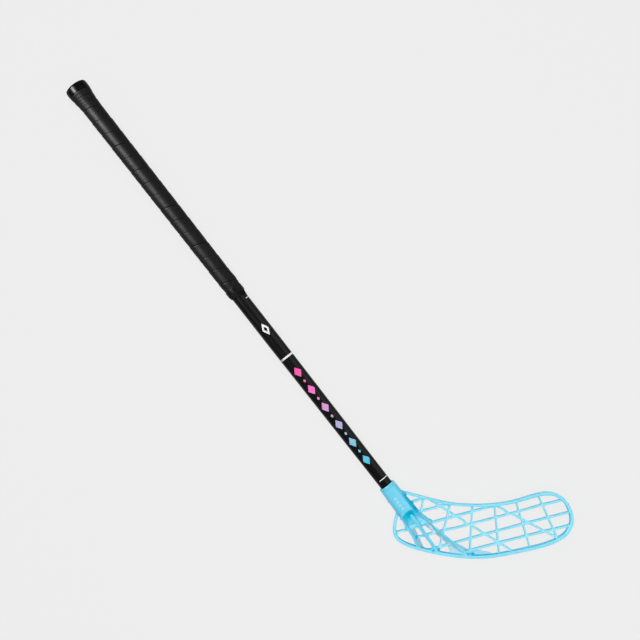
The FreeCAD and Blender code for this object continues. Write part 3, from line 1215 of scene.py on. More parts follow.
@dataclass
class FinishingTape:
    """Short band of stretched tape that closes the grip, creased where it drops to the shaft.

    Attributes:
        grip: The grip that it closes.
        thickness: Thickness of its layers.
        bed: Room under it.
        crease_depth: Depth of its wrinkles.
        slant: How far its end leans.
        short: How much sooner it ends than the CAD band.
        fold_depth: Depth of the fold where it drops to the shaft.
        drop: Where it leaves the grip's end and where it meets the shaft, from that end.
        fold_waves: Size, count in a turn, slope along 10 mm and phase of each wave of creases.
        pucker_wave: The same for the fine puckers at the drop.
        fold_shade_place: Middle of the painted shade in the fold, from the grip's end.
        fold_shade_lean: How far that painted shade leans.
        fold_shade_reach: Distances from its middle at which the painted shade is full and gone.
        end_layers: Distances from the band's end at which it is one layer and all layers thick.
        edge_share: Share of the thickness at its rims.
        segments: Points round the band.
        rows: Points along it.
        crease: Edges that bend by more degrees than this stay sharp.
    """

    grip: GripTape
    thickness: float = 0.5 * MM
    bed: float = 0.08 * MM
    crease_depth: float = 0.16 * MM
    slant: float = 3.2 * MM
    short: float = 6.0 * MM
    fold_depth: float = 0.5 * MM
    drop: Stretch = mm(-0.5, 5.5)
    fold_waves: tuple[tuple[float, ...], ...] = ((1.0, 5, 0.5, 0.0), (0.6, 11, -0.8, 1.3))
    pucker_wave: tuple[float, ...] = (0.5, 17, 0.3, 0.5)
    fold_shade_place: float = 2.0 * MM
    fold_shade_lean: float = 2.5 * MM
    fold_shade_reach: Stretch = mm(1.5, 4.5)
    end_layers: Stretch = mm(4, 10)
    edge_share: float = 0.15
    segments: int = 160
    rows: int = 48
    crease: float = 75.0

    def build(self) -> None:
        """Wrap the band and finish it."""
        axis = self.grip.shaft.axis
        start, end = axis.span(Node.FINISHING_TAPE)
        end -= self.short
        turns = np.arange(self.segments) / self.segments - 0.5
        share = np.linspace(0.0, 1.0, self.rows)[:, None]
        lean = np.sin(math.tau * turns)[None, :]
        along = start + (end - start) * share + self.slant * lean * share**2
        past = along - self.grip.ends()[1]
        inner = self.inner_radius(along, past)
        rim = np.sqrt(np.clip(1 - np.abs(2 * share - 1) ** 24, 0.0, 1.0))
        layer = self.thickness * (0.5 + 0.7 * band(end - along, self.end_layers))
        full = self.edge_share + (1 - self.edge_share) * rim
        outer = inner + (layer + self.wrinkles(past, turns[None, :])) * full
        # Painted shade in the fold, handed to the finish as its height field
        fold_shade = band(np.abs(past - self.fold_shade_place - self.fold_shade_lean * lean), self.fold_shade_reach)
        grid, radii, height = (
            np.vstack([front, back[::-1]]) for front, back in ((along, along), (outer, inner), (fold_shade, fold_shade))
        )
        around = np.broadcast_to(turns, grid.shape)
        fields = {Field.ALONG: grid.ravel(), Field.TURN: around.ravel(), Field.HEIGHT: height.ravel()}
        points = axis.points(grid, around, radii)
        piece = Skin.build("finishing_band", points, fields, self.crease, wrap_rows=True)
        dress(piece, BandVinyl().material(), Node.FINISHING_TAPE)

    def inner_radius(self, along: np.ndarray, past: np.ndarray) -> np.ndarray:
        """Radius under the band: over the pressed tape, then down on the tube.

        Args:
            along: Distances from the butt.
            past: Distances past the grip tape's end.

        Returns:
            The radii.
        """
        grip = self.grip
        over = (grip.thickness + grip.rise) * grip.tail_share + grip.bed
        return grip.shaft.radius(along) + over * (1 - band(past, self.drop)) + self.bed

    def wrinkles(self, past: np.ndarray, turns: np.ndarray) -> np.ndarray:
        """Height of the creases, which are deepest on the drop to the shaft.

        Args:
            past: Distances past the grip tape's end.
            turns: Turns from the top.

        Returns:
            The heights.
        """
        place = past / (10 * MM)
        *folds, puckers = (
            size * np.sin(math.tau * (count * turns + slope * place) + phase)
            for size, count, slope, phase in (*self.fold_waves, self.pucker_wave)
        )
        near = np.exp(-(((past - 2.5 * MM) / (5 * MM)) ** 2))
        fold = np.exp(-(((past - 1.2 * MM - 0.8 * MM * np.sin(math.tau * turns)) / (1.1 * MM)) ** 2))
        creases = 1.2 + sum(folds) * (0.35 + 0.65 * near) + puckers * near
        return self.crease_depth * creases - self.fold_depth * fold


@dataclass(frozen=True)
class Bar:
    """Straight moulded bar on the blade.

    Attributes:
        line: Its middle line.
        width: Width of the bar.
        low: Its back, over the blade's middle surface.
        high: Its front.
    """

    line: Line
    width: float
    low: float
    high: float


@dataclass(frozen=True)
class Web:
    """Thin flat web in a corner of the blade.

    Attributes:
        outline: Corners, left about.
        clear: How much painted light through it shows: 0.5 greyish to 1 clear.
        low: Its back, over the blade's middle surface.
        high: Its front.
    """

    outline: tuple[Place, ...]
    clear: float
    low: float = -3.2 * MM
    high: float = -0.8 * MM


@dataclass(frozen=True)
class Nudge:
    """Soft local shift of the blade's form.

    Attributes:
        place: Its middle.
        shift: How far the form moves along the length and up the height.
        reach: Distance at which the shift has died out.
    """

    place: Place
    shift: tuple[float, float]
    reach: float


@dataclass
class Points:
    """Points of the blade's skin.

    Attributes:
        places: Places in the frame.
        normals: Normals, as the form was before any shift.
        along: Distances from the butt.
        across: Distances from the shaft's axis towards the toe.
        run: Shares of the blade's length from the heel.
        rise: Shares of its height from the sole.
        level: Heights over its middle surface.
    """

    places: np.ndarray
    normals: np.ndarray
    along: np.ndarray
    across: np.ndarray
    run: np.ndarray
    rise: np.ndarray
    level: np.ndarray


@dataclass(frozen=True)
class Zone:
    """Soft region of the blade, within the bands that are given.

    Attributes:
        along: Distances from the butt.
        across: Distances from the shaft's axis towards the toe.
        run: Shares of the blade's length from the heel.
        rise: Shares of its height from the sole.
        level: Heights over its middle surface.
        strength: Share where the zone is full.
    """

    along: Stretch = ()
    across: Stretch = ()
    run: Stretch = ()
    rise: Stretch = ()
    level: Stretch = ()
    strength: float = 1.0

    def share(self, skin: Points) -> np.ndarray:
        """Share of the zone at each point.

        Args:
            skin: The points.

        Returns:
            The strength in the zone to 0 outside it.
        """
        share = np.full(len(skin.run), self.strength)
        for name in ("along", "across", "run", "rise", "level"):
            if getattr(self, name):
                share *= band(getattr(skin, name), getattr(self, name))
        return share


@dataclass(frozen=True)
class Pull:
    """Shift of a zone of the blade.

    Attributes:
        zone: What moves.
        way: How far it moves along the frame's X and Y.
    """

    zone: Zone
    way: tuple[float, float]


@dataclass
class Blade:
    """Open moulded blade, with the soft edges of a moulding.

    Attributes:
        axis: The shaft's axis.
        voxel: Size of the grid that the CAD form is skinned on.
        merge: Points of the CAD form closer than this are one.
        passes: Smoothing passes, which round the edges.
        reach: How far a wall closes in a corner, for the painted shade and glow there.
        rays: Directions looked along for that.
        corner_range: How closed in a point is where a corner starts and where it is tight.
        lie: Angle between the shaft and the blade's length.
        sole_crossing: Where the axis meets the sole's line, from the butt.
        set_back: How far the middle surface lies behind the axis.
        length: Length of the blade.
        height: Its height.
        heel_reach: How far the heel lies behind that crossing.
        hook_start: Where the blade starts to curve, from that crossing.
        hook_radius: Radius of the curve.
        rib_front: Level of the ribs' fronts.
        rim_front: Level of the rim's front.
        rim_highlight: Share of the ribs' painted highlight on the rim.
        front_near: Distances from those levels at which that painted highlight is gone and full.
        front_slope: Upward part of the fronts' normals at which it is gone and full.
        bars: Bars that the CAD form lacks.
        webs: Webs that it lacks.
        nudges: Shifts of its outline.
        pulls: Shifts of the trough's heel rail and of the neck's arched end.
        strut: Line of the trough's middle strut.
        strut_zone: Where the strut is widened.
        strut_near: Distances from its line to which that reaches.
        strut_half: Half of its width.
        strut_extra: How much it is widened to each side.
        slim_rail: Line of the toe rail's top.
        slim_zone: Where that is narrowed.
        slim_near: Distances from its line to which that reaches.
        slim_share: Share of the width that is taken off.
        low_row: Line of a row of ribs that sits lower.
        row_zone: Where it does.
        row_near: Distances from its line to which that reaches.
        row_drop: How much lower it sits.
        rim_swell: How much the rim thickens inward.
        swell_run: Where it does.
        swell_level: Levels, either way, at which it does.
        swell_shares: Share of it at the toe, and how much more along the top or less along the sole.
        spine: Line that the rim's inner side faces.
        spine_ends: Shares of the length between which that line runs.
        shades: Zones of painted shade: flank, hollow, heel and toe side of the tube; also a darker band at
            the mouth's edge.
        feet: Painted shade at the feet of the struts.
        foot_reach: Distances at which a foot's painted shade is gone and full.
        foot_length: How much longer than high a foot is.
        foot_level: Levels at which it is gone and full.
        sole_over: Heights over the sole's edge at which the rim's inner wall takes painted shade.
        sole_facing: How far that wall faces inward where its painted shade starts and is full.
        sole_run: Where that painted shade is least and most.
        sole_shade: Its least depth, and how much deeper it gets.
        rails: Lines of the trough's rails, with the trough on the left.
        rail_wall: Distances from a rail at which its wall leans.
        wall_slope: Upward part of the leaning walls' normals.
        wall_zone: Where they take painted light through them.
        window: Middle of a spot of painted light through the trough's floor.
        window_reach: Distances at which it is gone and full.
        window_level: Levels at which it is gone and full.
        window_clear: How much painted light through it shows.
        clear_spot: Middle of a spot of stronger painted light through the walls.
        clear_reach: Distances at which it is gone and full.
        web_over: Heights over a web's front at which its look is gone and full.
        web_edge: Distances inside a web's outline at which its look is gone and full.
        panel_zone: Where the trough's floor is closed.
        mark_start: Where the row of lozenges on the neck starts, from the butt.
        mark_pitch: Distance between them.
        mark_count: How many there are.
        mark_size: Half of a lozenge's length and width.
        mark_side: How far they sit to the heel side.
        mark_edge: Shares of the size at which their colour is gone and full.
        mark_share: Share of their colour where it is full.
    """

    axis: Axis
    voxel: float = 0.87 * MM
    merge: float = MM / 500
    passes: int = 5
    reach: float = 14.0 * MM
    rays: int = 14
    corner_range: Stretch = (0.12, 0.62)
    lie: float = math.radians(52.0)
    sole_crossing: float = 889.3 * MM
    set_back: float = 6.0 * MM
    length: float = 263.3 * MM
    height: float = 100.1 * MM
    heel_reach: float = 74.0 * MM
    hook_start: float = -20.0 * MM
    hook_radius: float = 1350.0 * MM
    rib_front: float = 3.5 * MM
    rim_front: float = 5.5 * MM
    # Painted highlight on the rim's front, as a share of the ribs'
    rim_highlight: float = 0.7
    front_near: Stretch = mm(1.6, 0.5)
    front_slope: Stretch = (0.5, 0.9)
    bars: tuple[Bar, ...] = (Bar(((0.071, 0.456), (0.214, 0.565)), 4.2 * MM, 0.5 * MM, 6.0 * MM),)
    webs: tuple[Web, ...] = (
        Web(((0.302, 0.192), (0.323, 0.065), (0.395, 0.065), (0.345, 0.192)), 0.62),
        Web(((0.350, 0.214), (0.398, 0.105), (0.420, 0.120), (0.392, 0.172)), 0.5),
        Web((
            (0.430, 0.060), (0.550, 0.066), (0.550, 0.086), (0.505, 0.106), (0.464, 0.126), (0.430, 0.108),
        ), 0.5),
    )
    nudges: tuple[Nudge, ...] = (Nudge((0.002, 0.345), (-2.0 * MM, -0.5 * MM), 22.0 * MM),)
    pulls: tuple[Pull, ...] = (
        Pull(Zone(along=mm(800, 807, 812, 836), across=mm(-25, -16, -6.5, -4)), (0.0, -3.2 * MM)),
        Pull(
            Zone(along=mm(780, 802, 810, 828), across=mm(-16, -11, 11, 16), level=mm(3, 7)), (-2.5 * MM, 0.0)
        ),
    )
    strut: Line = ((0.099, 0.644), (0.251, 0.078))
    strut_zone: Zone = Zone(rise=(0.078, 0.178, 0.584, 0.664), level=mm(3, 5))
    strut_near: Stretch = mm(3.4, 2.4)
    strut_half: float = 1.8 * MM
    strut_extra: float = 0.8 * MM
    slim_rail: Line = ((0.136, 0.709), (0.246, 0.440))
    slim_zone: Zone = Zone(rise=(0.42, 0.5, 0.64, 0.73), level=mm(2.5, 4.5))
    slim_near: Stretch = mm(10, 5.5)
    slim_share: float = 0.6
    low_row: Line = ((0.344, 0.470), (0.930, 0.899))
    row_zone: Zone = Zone(run=(0.27, 0.36, 0.64, 0.86))
    row_near: Stretch = mm(5, 2.2)
    row_drop: float = 1.6 * MM
    rim_swell: float = 1.1 * MM
    swell_run: Stretch = (0.45, 0.8)
    swell_level: Stretch = mm(3.3, 4.6)
    swell_shares: tuple[float, float] = (0.8, 0.5)
    spine: tuple[Place, ...] = ((0.0, 0.4), (0.3, 0.45), (0.6, 0.42), (0.8, 0.52), (0.95, 0.6))
    spine_ends: tuple[float, float] = (0.12, 0.88)
    # Zones of painted shade; the last is a darker band at the mouth's edge
    shades: tuple[Zone, ...] = (
        Zone(along=mm(768, 780, 808, 814), across=mm(8.2, 10.2, 14.5, 16.5), level=mm(1, 4)),
        Zone(along=mm(797, 799, 809, 818), across=mm(-10.5, -8.5, 6.5, 8.5), level=mm(12, 9)),
        Zone(along=mm(806, 800), across=mm(-15, -14, -9.5, -7), level=mm(0, 3), strength=0.3),
        Zone(along=mm(806, 800), across=mm(7, 10, 14, 15), level=mm(0, 3), strength=0.25),
        Zone(along=mm(751.5, 753, 755, 758), strength=0.25),
    )
    feet: tuple[Place, ...] = (
        (0.223, 0.115), (0.253, 0.131), (0.418, 0.071), (0.446, 0.062),
        (0.125, 0.313), (0.238, 0.183), (0.125, 0.192),
    )
    foot_reach: Stretch = mm(3.4, 2.2)
    foot_length: float = 1.3
    foot_level: Stretch = mm(6.5, 5)
    sole_over: Stretch = mm(2.5, 4, 10, 13)
    sole_facing: Stretch = (0.45, 0.75)
    sole_run: Stretch = (0.75, 0.4)
    sole_shade: tuple[float, float] = (0.12, 0.43)
    # Painted light through the trough's leaning walls, a floor spot and the webs
    rails: tuple[Line, ...] = (((0.036, 0.713), (0.149, 0.078)), ((0.429, 0.036), (0.099, 0.752)))
    rail_wall: Stretch = mm(1.44, 2.52, 8.8, 10.55)
    wall_slope: Stretch = (0.05, 0.2, 0.75, 0.9)
    wall_zone: Zone = Zone(rise=(0.55, 0.5), level=mm(7.5, 3.5))
    window: Place = (0.148, 0.585)
    window_reach: Stretch = mm(7, 2)
    window_level: Stretch = mm(4.5, 3.5)
    window_clear: float = 0.4
    clear_spot: Place = (0.218, 0.435)
    clear_reach: Stretch = mm(9, 4)
    web_over: Stretch = mm(1.6, 0.6)
    web_edge: Stretch = mm(-0.6, 0.6)
    panel_zone: Zone = Zone(along=mm(790, 796), rise=(0.46, 0.5), level=mm(9, 6))
    mark_start: float = 770.0 * MM
    mark_pitch: float = 5.9 * MM
    mark_count: int = 4
    mark_size: tuple[float, ...] = mm(2.6, 2.8)
    mark_side: float = 1.9 * MM
    mark_edge: Stretch = (1.1, 0.8)
    mark_share: float = 0.8

    def build(self) -> None:
        """Skin the CAD form afresh, settle it, mark its places and finish it."""
        mesh = self.skin()
        skin = self.settle(self.points(self.read(mesh, "co"), self.read(mesh, "normal")))
        mesh.vertices.foreach_set("co", np.ascontiguousarray(skin.places, np.float32).ravel())
        mesh.update()
        # Masks of the painted shade, glow, light through the walls and highlight, and of the printed lozenges
        masks = {
            Field.CAVITY: self.cavity(mesh, skin),
            Field.SHADE: self.shade(skin),
            Field.LIGHT_THROUGH: self.light_through_walls(skin),
            Field.RIB_HIGHLIGHT: self.rib_highlights(skin),
            Field.MARK: self.mark(skin),
            Field.FLOOR: self.panels(skin),
        }
        for field, values in masks.items():
            Skin.carry(mesh, field, values)
        mesh.shade_smooth()
        piece = add_object("moulded_blade", mesh)
        dress(piece, BladePlastic().material(), Node.BLADE)

    @staticmethod
    def read(mesh: bpy.types.Mesh, name: str) -> np.ndarray:
        """Vectors of a mesh's points.

        Args:
            mesh: The mesh.
            name: Blender's name of the vectors.

        Returns:
            One row for each point.
        """
        values = np.empty(len(mesh.vertices) * 3, np.float32)
        mesh.vertices.foreach_get(name, values)
        return values.reshape(-1, 3).astype(float)

    @property
    def scale(self) -> np.ndarray:
        """Length and height."""
        return np.array((self.length, self.height))

    @property
    def axes(self) -> np.ndarray:
        """Ways of the length and of the height in the frame, one in each row."""
        along, across = math.cos(self.lie), math.sin(self.lie)
        return np.array(((along, across), (-across, along)))

    def hook(self, run: np.ndarray) -> np.ndarray:
        """How far the blade's curve lifts its middle surface."""
        return np.maximum(run - self.hook_start, 0.0) ** 2 / (2 * self.hook_radius)

    def points(self, places: np.ndarray, normals: np.ndarray) -> Points:
        """Measure points of the skin.

        Args:
            places: Places in the frame.
            normals: Their normals.

        Returns:
            The points, in the blade's own axes too.
        """
        along, across = places[:, 0] - self.axis.butt, places[:, 1] - self.axis.side
        run, rise = self.axes @ np.stack([along - self.sole_crossing, across])
        level = places[:, 2] - self.axis.height + self.set_back - self.hook(run)
        share = (run + self.heel_reach) / self.length
        return Points(places, normals, along, across, share, rise / self.height, level)

    def frame_place(self, corner: np.ndarray, level: float) -> tuple[float, float, float]:
        """Place in the frame of a place on the blade.

        Args:
            corner: Distance from the heel along the length, and from the sole up the height.
            level: Height over the middle surface.

        Returns:
            X, Y and Z.
        """
        run = corner[0] - self.heel_reach
        along, across = np.array((run, corner[1])) @ self.axes
        height = self.axis.height - self.set_back + float(self.hook(run)) + level
        return self.axis.butt + self.sole_crossing + along, self.axis.side + across, height

    def away(self, skin: Points, place: Place) -> np.ndarray:
        """Distance of each point from a place on the blade."""
        return np.hypot((skin.run - place[0]) * self.length, (skin.rise - place[1]) * self.height)

    def sideways(self, line: Line) -> np.ndarray:
        """Way to the left of a line, in the blade's own axes."""
        along, up = (np.array(line[1]) - line[0]) * self.scale
        return np.array((-up, along)) / math.hypot(along, up)

    def beside(self, skin: Points, line: Line) -> np.ndarray:
        """Distance of each point from a line on the blade, positive on its left."""
        offsets = (np.stack([skin.run, skin.rise], axis=1) - line[0]) * self.scale
        return offsets @ self.sideways(line)

    def on_bar(self, skin: Points, bar: Bar) -> np.ndarray:
        """Share of each point that is on a bar."""
        return smooth_share(np.abs(self.beside(skin, bar.line)), bar.width * 0.7, bar.width * 0.5)

    def inward(self, skin: Points) -> tuple[np.ndarray, np.ndarray]:
        """How far each point faces the middle of the blade.

        Args:
            skin: The points.

        Returns:
            1 for a point that faces it to -1 for one that faces away, and the way there, along the length and
            up the height.
        """
        places, heights = zip(*self.spine)
        ahead = np.clip(skin.run, *self.spine_ends) - skin.run
        way = np.stack([ahead, np.interp(skin.run, places, heights) - skin.rise], axis=1) * self.scale
        way /= np.maximum(np.linalg.norm(way, axis=1, keepdims=True), MM)
        return np.sum(skin.normals[:, :2] @ self.axes.T * way, axis=1), way

    def skin(self) -> bpy.types.Mesh:
        """Closed even mesh of the CAD form with the added bars and webs, with rounded edges.

        Returns:
            The mesh.
        """
        work = bmesh.new()
        work.from_mesh(bpy.data.objects[Node.BLADE.value].data)
        bmesh.ops.remove_doubles(work, verts=work.verts, dist=self.merge)
        for bar in self.bars:
            side = self.sideways(bar.line) * bar.width / 2
            start, end = np.array(bar.line) * self.scale
            corners = np.array((start - side, end - side, end + side, start + side))
            self.add_prism(work, corners, bar.low, bar.high)
        for web in self.webs:
            self.add_prism(work, np.array(web.outline) * self.scale, web.low, web.high)
        mesh = bpy.data.meshes.new("blade_form")
        work.to_mesh(mesh)
        work.free()
        form = add_object("blade_form", mesh)
        grid = form.modifiers.new("skin", "REMESH")
        grid.mode = "VOXEL"
        grid.voxel_size = self.voxel
        soften = form.modifiers.new("soften", "SMOOTH")
        soften.factor = 0.5
        soften.iterations = self.passes
        shaped = form.evaluated_get(bpy.context.evaluated_depsgraph_get())
        result = bpy.data.meshes.new_from_object(shaped)
        result.name = "moulded_blade"
        bpy.data.objects.remove(form)
        bpy.data.meshes.remove(mesh)
        return result

    def add_prism(self, work: bmesh.types.BMesh, corners: np.ndarray, low: float, high: float) -> None:
        """Add a flat piece to the form.

        Args:
            work: The form.
            corners: Its outline, left about, along the length and up the height.
            low: Its back, over the blade's middle surface.
            high: Its front.
        """
        back, front = (
            [work.verts.new(self.frame_place(corner, level)) for corner in corners] for level in (low, high)
        )
        work.faces.new(back[::-1])
        work.faces.new(front)
        for index in range(len(corners)):
            after = (index + 1) % len(corners)
            work.faces.new((back[index], back[after], front[after], front[index]))

    def settle(self, skin: Points) -> Points:
        """Shift the form where the real moulding departs from its plain outline.

        Args:
            skin: The form.

        Returns:
            The shifted form.
        """
        shift = np.zeros((len(skin.run), 2))
        for nudge in self.nudges:
            weight = smooth_share(self.away(skin, nudge.place), nudge.reach, 0.0)
            shift += weight[:, None] * nudge.shift
        beside = self.beside(skin, self.strut)
        near = self.strut_zone.share(skin) * band(np.abs(beside), self.strut_near)
        push = self.strut_extra * np.clip(beside / self.strut_half, -1, 1) * near
        shift += push[:, None] * self.sideways(self.strut)
        inward, way = self.inward(skin)
        swell = band(skin.run, self.swell_run) * band(np.abs(skin.level), self.swell_level)
        plain, lean = self.swell_shares
        swell *= self.rim_swell * np.clip(inward, 0.0, 1.0) * (plain - lean * way[:, 1])
        shift += swell[:, None] * way
        beside = self.beside(skin, self.slim_rail)
        slim = self.slim_zone.share(skin) * band(np.abs(beside), self.slim_near)
        shift -= (self.slim_share * beside * slim)[:, None] * self.sideways(self.slim_rail)
        row = self.row_zone.share(skin) * band(np.abs(self.beside(skin, self.low_row)), self.row_near)
        shift[:, 1] -= self.row_drop * row
        places = skin.places.copy()
        places[:, :2] += shift @ self.axes
        for pull in self.pulls:
            zone = pull.zone.share(self.points(places, skin.normals))
            places[:, :2] += zone[:, None] * pull.way
        return self.points(places, skin.normals)

    def cavity(self, mesh: bpy.types.Mesh, skin: Points) -> np.ndarray:
        """How closed in each point of the blade is, which sets the painted shade and painted glow of its
        corners.

        Args:
            mesh: The settled form.
            skin: Its points.

        Returns:
            0 in the open to 1 in a tight corner.
        """
        normals = skin.normals
        tree = BVHTree.FromPolygons(skin.places.tolist(), [tuple(face.vertices) for face in mesh.polygons])
        steps = np.arange(self.rays) + 0.5
        tilt = np.sqrt(steps / self.rays)
        spin = steps * math.pi * (3 - math.sqrt(5))
        fan = np.stack([tilt * np.cos(spin), tilt * np.sin(spin), np.sqrt(1 - tilt**2)], axis=-1)
        helper = np.where(np.abs(normals[:, 2:3]) < 0.9, (0.0, 0.0, 1.0), (1.0, 0.0, 0.0))
        across = np.cross(helper, normals)
        across /= np.linalg.norm(across, axis=1, keepdims=True)
        frame = np.stack([across, np.cross(normals, across), normals], axis=1)
        starts = (skin.places + normals * (self.voxel / 2)).tolist()
        closed = np.zeros(len(starts))
        for direction in fan:
            for index, (start, way) in enumerate(zip(starts, (direction @ frame).tolist())):
                distance = tree.ray_cast(start, way, self.reach)[3]
                if distance is not None:
                    closed[index] += 1 - distance / self.reach
        return band(closed / self.rays, self.corner_range)

    @staticmethod
    def over_sole(skin: Points, count: int = 80) -> np.ndarray:
        """How far each point is over the sole's edge.

        Args:
            skin: The points.
            count: Places along the length at which the edge is taken.

        Returns:
            Shares of the height.
        """
        edge = np.ones(count)
        np.minimum.at(edge, np.clip((skin.run * count).astype(int), 0, count - 1), skin.rise)
        return skin.rise - np.interp(skin.run, (np.arange(count) + 0.5) / count, edge)

    def shade(self, skin: Points) -> np.ndarray:
        """Mask of the painted shade.

        Args:
            skin: The points.

        Returns:
            1 where the painted shade is full.
        """
        foot = np.zeros(len(skin.run))
        for run, rise in self.feet:
            away = np.abs(skin.run - run) * self.length / self.foot_length
            away += np.abs(skin.rise - rise) * self.height
            foot = np.maximum(foot, band(away, self.foot_reach))
        foot *= band(skin.level, self.foot_level)
        sole = band(self.over_sole(skin) * self.height, self.sole_over)
        sole *= band(self.inward(skin)[0], self.sole_facing)
        least, more = self.sole_shade
        sole *= least + more * band(skin.run, self.sole_run)
        return np.max([foot, sole, *(zone.share(skin) for zone in self.shades)], axis=0)

    def panels(self, skin: Points) -> np.ndarray:
        """Mask of the trough's closed floor and of the hollow over it, without the bars, for their painted
        shade.

        Args:
            skin: The points.

        Returns:
            1 on the floor.
        """
        floor = self.panel_zone.share(skin)
        for rail in self.rails:
            floor *= smooth_share(self.beside(skin, rail), 0.0, 2 * MM)
        for bar in self.bars:
            floor *= 1 - self.on_bar(skin, bar)
        return floor

    def mark(self, skin: Points) -> np.ndarray:
        """Mask of the row of small lozenges on the neck.

        Args:
            skin: The points.

        Returns:
            Share of their colour.
        """
        past = (skin.along - self.mark_start) / self.mark_pitch
        reach = np.abs(past % 1.0 - 0.5) * self.mark_pitch / self.mark_size[0]
        reach += np.abs(skin.across + self.mark_side) / self.mark_size[1]
        row = (past > 0) & (past < self.mark_count) & (skin.places[:, 2] > self.axis.height)
        return band(reach, self.mark_edge) * row * self.mark_share

    def light_through_walls(self, skin: Points) -> np.ndarray:
        """Mask of the painted light through the trough's leaning walls and through the webs.

        Args:
            skin: The points.

        Returns:
            0 on thick plastic, 0.5 for a greyish painted light through, 1 for a clear one.
        """
        walls = np.max([band(self.beside(skin, rail), self.rail_wall) for rail in self.rails], axis=0)
        walls *= band(skin.normals[:, 2], self.wall_slope) * self.wall_zone.share(skin)
        walls *= 0.5 + 0.5 * band(self.away(skin, self.clear_spot), self.clear_reach)
        spot = self.window_clear * band(self.away(skin, self.window), self.window_reach)
        light_through = np.maximum(walls, spot * band(skin.level, self.window_level))
        for web in self.webs:
            sides = zip(web.outline, web.outline[1:] + web.outline[:1])
            inside = np.min([self.beside(skin, side) for side in sides], axis=0)
            flat = band(skin.level - web.high, self.web_over)
            light_through = np.maximum(light_through, web.clear * flat * band(inside, self.web_edge))
        return light_through

    def rib_highlights(self, skin: Points) -> np.ndarray:
        """Mask of the painted highlight on the ribs' front faces, which face up.

        Args:
            skin: The points.

        Returns:
            1 on the upward fronts, where the painted highlight is full.
        """
        levels = (self.rib_front, self.rim_front)
        rib_highlight, rim = (band(np.abs(skin.level - level), self.front_near) for level in levels)
        fronts = np.maximum(rib_highlight, self.rim_highlight * rim)
        for bar in self.bars:
            front = (skin.level > bar.high / 2) & (skin.level < bar.high + 1.5 * MM)
            fronts = np.maximum(fronts, self.on_bar(skin, bar) * front)
        return fronts * band(skin.normals[:, 2], self.front_slope)


@dataclass
class BladeScrew:
    """The CAD screw, with broken edges and a painted finish.

    Attributes:
        edge_break: Width of the broken edges.
        edge_angle: Edges that bend by more degrees than this are broken.
    """

    edge_break: float = 0.12 * MM
    edge_angle: float = 35.0

    def build(self) -> None:
        """Finish the carried-over node."""
        screw = bpy.data.objects[Node.BLADE_SCREW.value]
        bevel = screw.modifiers.new("broken_edges", "BEVEL")
        bevel.width = self.edge_break
        bevel.segments = 2
        bevel.limit_method = "ANGLE"
        bevel.angle_limit = math.radians(self.edge_angle)
        screw.data.materials.clear()
        screw.data.materials.append(ScrewSteel().material())
        LOG.info("%s: kept from the CAD model", screw.name)


@dataclass(frozen=True)
class Lamp:
    """Soft panel that faces the shaft.

    Attributes:
        name: Name of the lamp.
        place: Where it hangs, from the middle of the frame.
        size: Its length along the shaft and its width.
        glow: Brightness of its face.
        throw: What it lights.
    """

    name: str
    place: tuple[float, float, float]
    size: tuple[float, float]
    glow: float
    throw: Throw


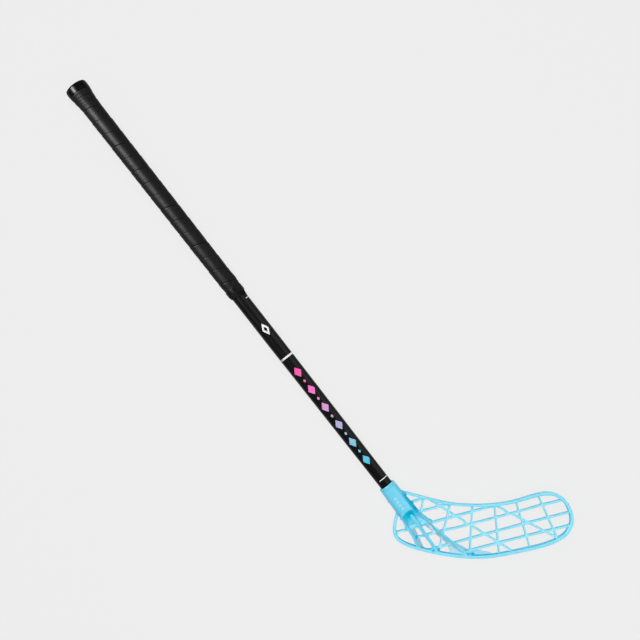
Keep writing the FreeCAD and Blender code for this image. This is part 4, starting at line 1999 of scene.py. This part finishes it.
@dataclass
class Studio:
    """Pale floor and backdrop, soft lamps and the photograph's camera.

    Attributes:
        axis: The shaft's axis.
        pale: Colour of the floor and the backdrop.
        floor_size: Side of the floor.
        floor_evenness: How much of its own shadows the floor hides from the camera.
        room_radius: Radius of the backdrop.
        all_round: Level of the even light, where 1 alone shows colours as written.
        lamps: The lamps.
        view_along: Middle of the picture, from the butt.
        view_across: Middle of the picture, from the axis.
        view_height: Height of the camera over the axis.
        focal_pixels: Focal length in pixels of the picture.
        picture: Width of the picture in pixels.
        sensor: Width of the camera's sensor, in its own millimetres.
        turn: How far the camera is turned about the vertical.
    """

    axis: Axis
    pale: Colour = srgb(238, 238, 238)
    floor_size: float = 6.0
    floor_evenness: float = 0.93
    room_radius: float = 9.0
    all_round: float = 0.34
    lamps: tuple[Lamp, ...] = (
        Lamp("toe_side_panel", (0.25, 1.2, 1.0), (1.7, 1.7), 2.5, Throw.SHEEN),
        Lamp("overhead_fill", (0.1, 0.0, 1.7), (2.6, 1.7), 2.15, Throw.FILL),
        Lamp("grip_highlight", (-1.05, -0.8, 1.2), (1.1, 0.6), 100.0, Throw.SHEEN),
    )
    view_along: float = 497.1 * MM
    view_across: float = 73.0 * MM
    view_height: float = 1.636
    focal_pixels: float = 1103.0
    picture: int = 640
    sensor: float = 36.0
    turn: float = math.radians(52.0)

    def build(self) -> None:
        """Make the floor, the backdrop, the lights and the camera."""
        self.floor(min(0.0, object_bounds()[0].z))
        self.backdrop()
        self.world()
        for lamp in self.lamps:
            self.hang(lamp)
        self.camera()

    def floor(self, level: float) -> None:
        """Lay a plain pale floor.

        Args:
            level: Its height, at the lowest point of the stick.
        """
        half = self.floor_size / 2
        corners = [(-half, -half, level), (half, -half, level), (half, half, level), (-half, half, level)]
        mesh = bpy.data.meshes.new("studio_floor")
        mesh.from_pydata(corners, [], [(0, 1, 2, 3)])
        graph = Graph("pale_floor")
        matt = graph.node("ShaderNodeBsdfDiffuse", None, {"Color": self.pale}, "BSDF")
        seen = graph.node("ShaderNodeLightPath", None, None, "Is Camera Ray")
        for ray in ("Is Glossy Ray", "Is Transmission Ray"):
            seen = seen.most(graph.node("ShaderNodeLightPath", None, None, ray))
        inputs = {0: seen * self.floor_evenness, 1: matt, 2: graph.glow(self.pale)}
        mesh.materials.append(graph.close(graph.node("ShaderNodeMixShader", None, inputs, "Shader")))
        add_object("studio_floor", mesh)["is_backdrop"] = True

    def backdrop(self) -> None:
        """Close the room with a pale shell that only the camera sees."""
        work = bmesh.new()
        bmesh.ops.create_icosphere(work, subdivisions=3, radius=self.room_radius)
        mesh = bpy.data.meshes.new("studio_backdrop")
        work.to_mesh(mesh)
        work.free()
        graph = Graph("pale_backdrop")
        mesh.materials.append(graph.close(graph.glow(self.pale)))
        shell = add_object("studio_backdrop", mesh)
        for ray in ("diffuse", "glossy", "transmission", "volume_scatter", "shadow"):
            setattr(shell, f"visible_{ray}", False)
        shell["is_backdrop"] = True

    def world(self) -> None:
        """Spread even light from all round."""
        world = bpy.data.worlds.new("studio_light")
        world.use_nodes = True
        background = world.node_tree.nodes["Background"]
        background.inputs["Color"].default_value = WHITE
        background.inputs["Strength"].default_value = self.all_round
        bpy.context.scene.world = world

    def hang(self, lamp: Lamp) -> None:
        """Hang a lamp that the camera doesn't see.

        Args:
            lamp: The lamp.
        """
        light = bpy.data.lights.new(lamp.name, "AREA")
        light.shape = "RECTANGLE"
        light.size, light.size_y = lamp.size
        light.energy = lamp.glow * math.pi * lamp.size[0] * lamp.size[1]
        panel = add_object(lamp.name, light)
        panel.location = lamp.place
        aim = Vector((lamp.place[0], self.axis.side, 0.0)) - panel.location
        panel.rotation_euler = aim.to_track_quat("-Z", "Y").to_euler()
        panel.visible_camera = False
        panel.visible_diffuse = lamp.throw is Throw.FILL
        panel.visible_glossy = lamp.throw is Throw.SHEEN

    def camera(self) -> None:
        """Look straight down, turned as the photograph is."""
        lens = bpy.data.cameras.new("photo_camera")
        lens.sensor_width = self.sensor
        lens.lens = self.sensor * self.focal_pixels / self.picture
        camera = add_object("photo_camera", lens)
        camera.location = (
            self.axis.butt + self.view_along,
            self.axis.side + self.view_across,
            self.axis.height + self.view_height,
        )
        camera.rotation_euler = (0.0, 0.0, self.turn)
        bpy.context.scene.camera = camera


def main() -> None:
    """Build the stick's pieces in order, then the studio."""
    logging.basicConfig(level=logging.INFO, format="%(name)s: %(message)s")
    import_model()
    axis = Axis.from_frame()
    shaft = Shaft(axis)
    grip = GripTape(shaft)
    for assembly in (shaft, ButtCap(axis), grip, FinishingTape(grip), Blade(axis), BladeScrew()):
        assembly.build()
    Studio(axis).build()
    bpy.context.scene.view_settings.view_transform = "Standard"


if __name__ == "__main__":
    main()
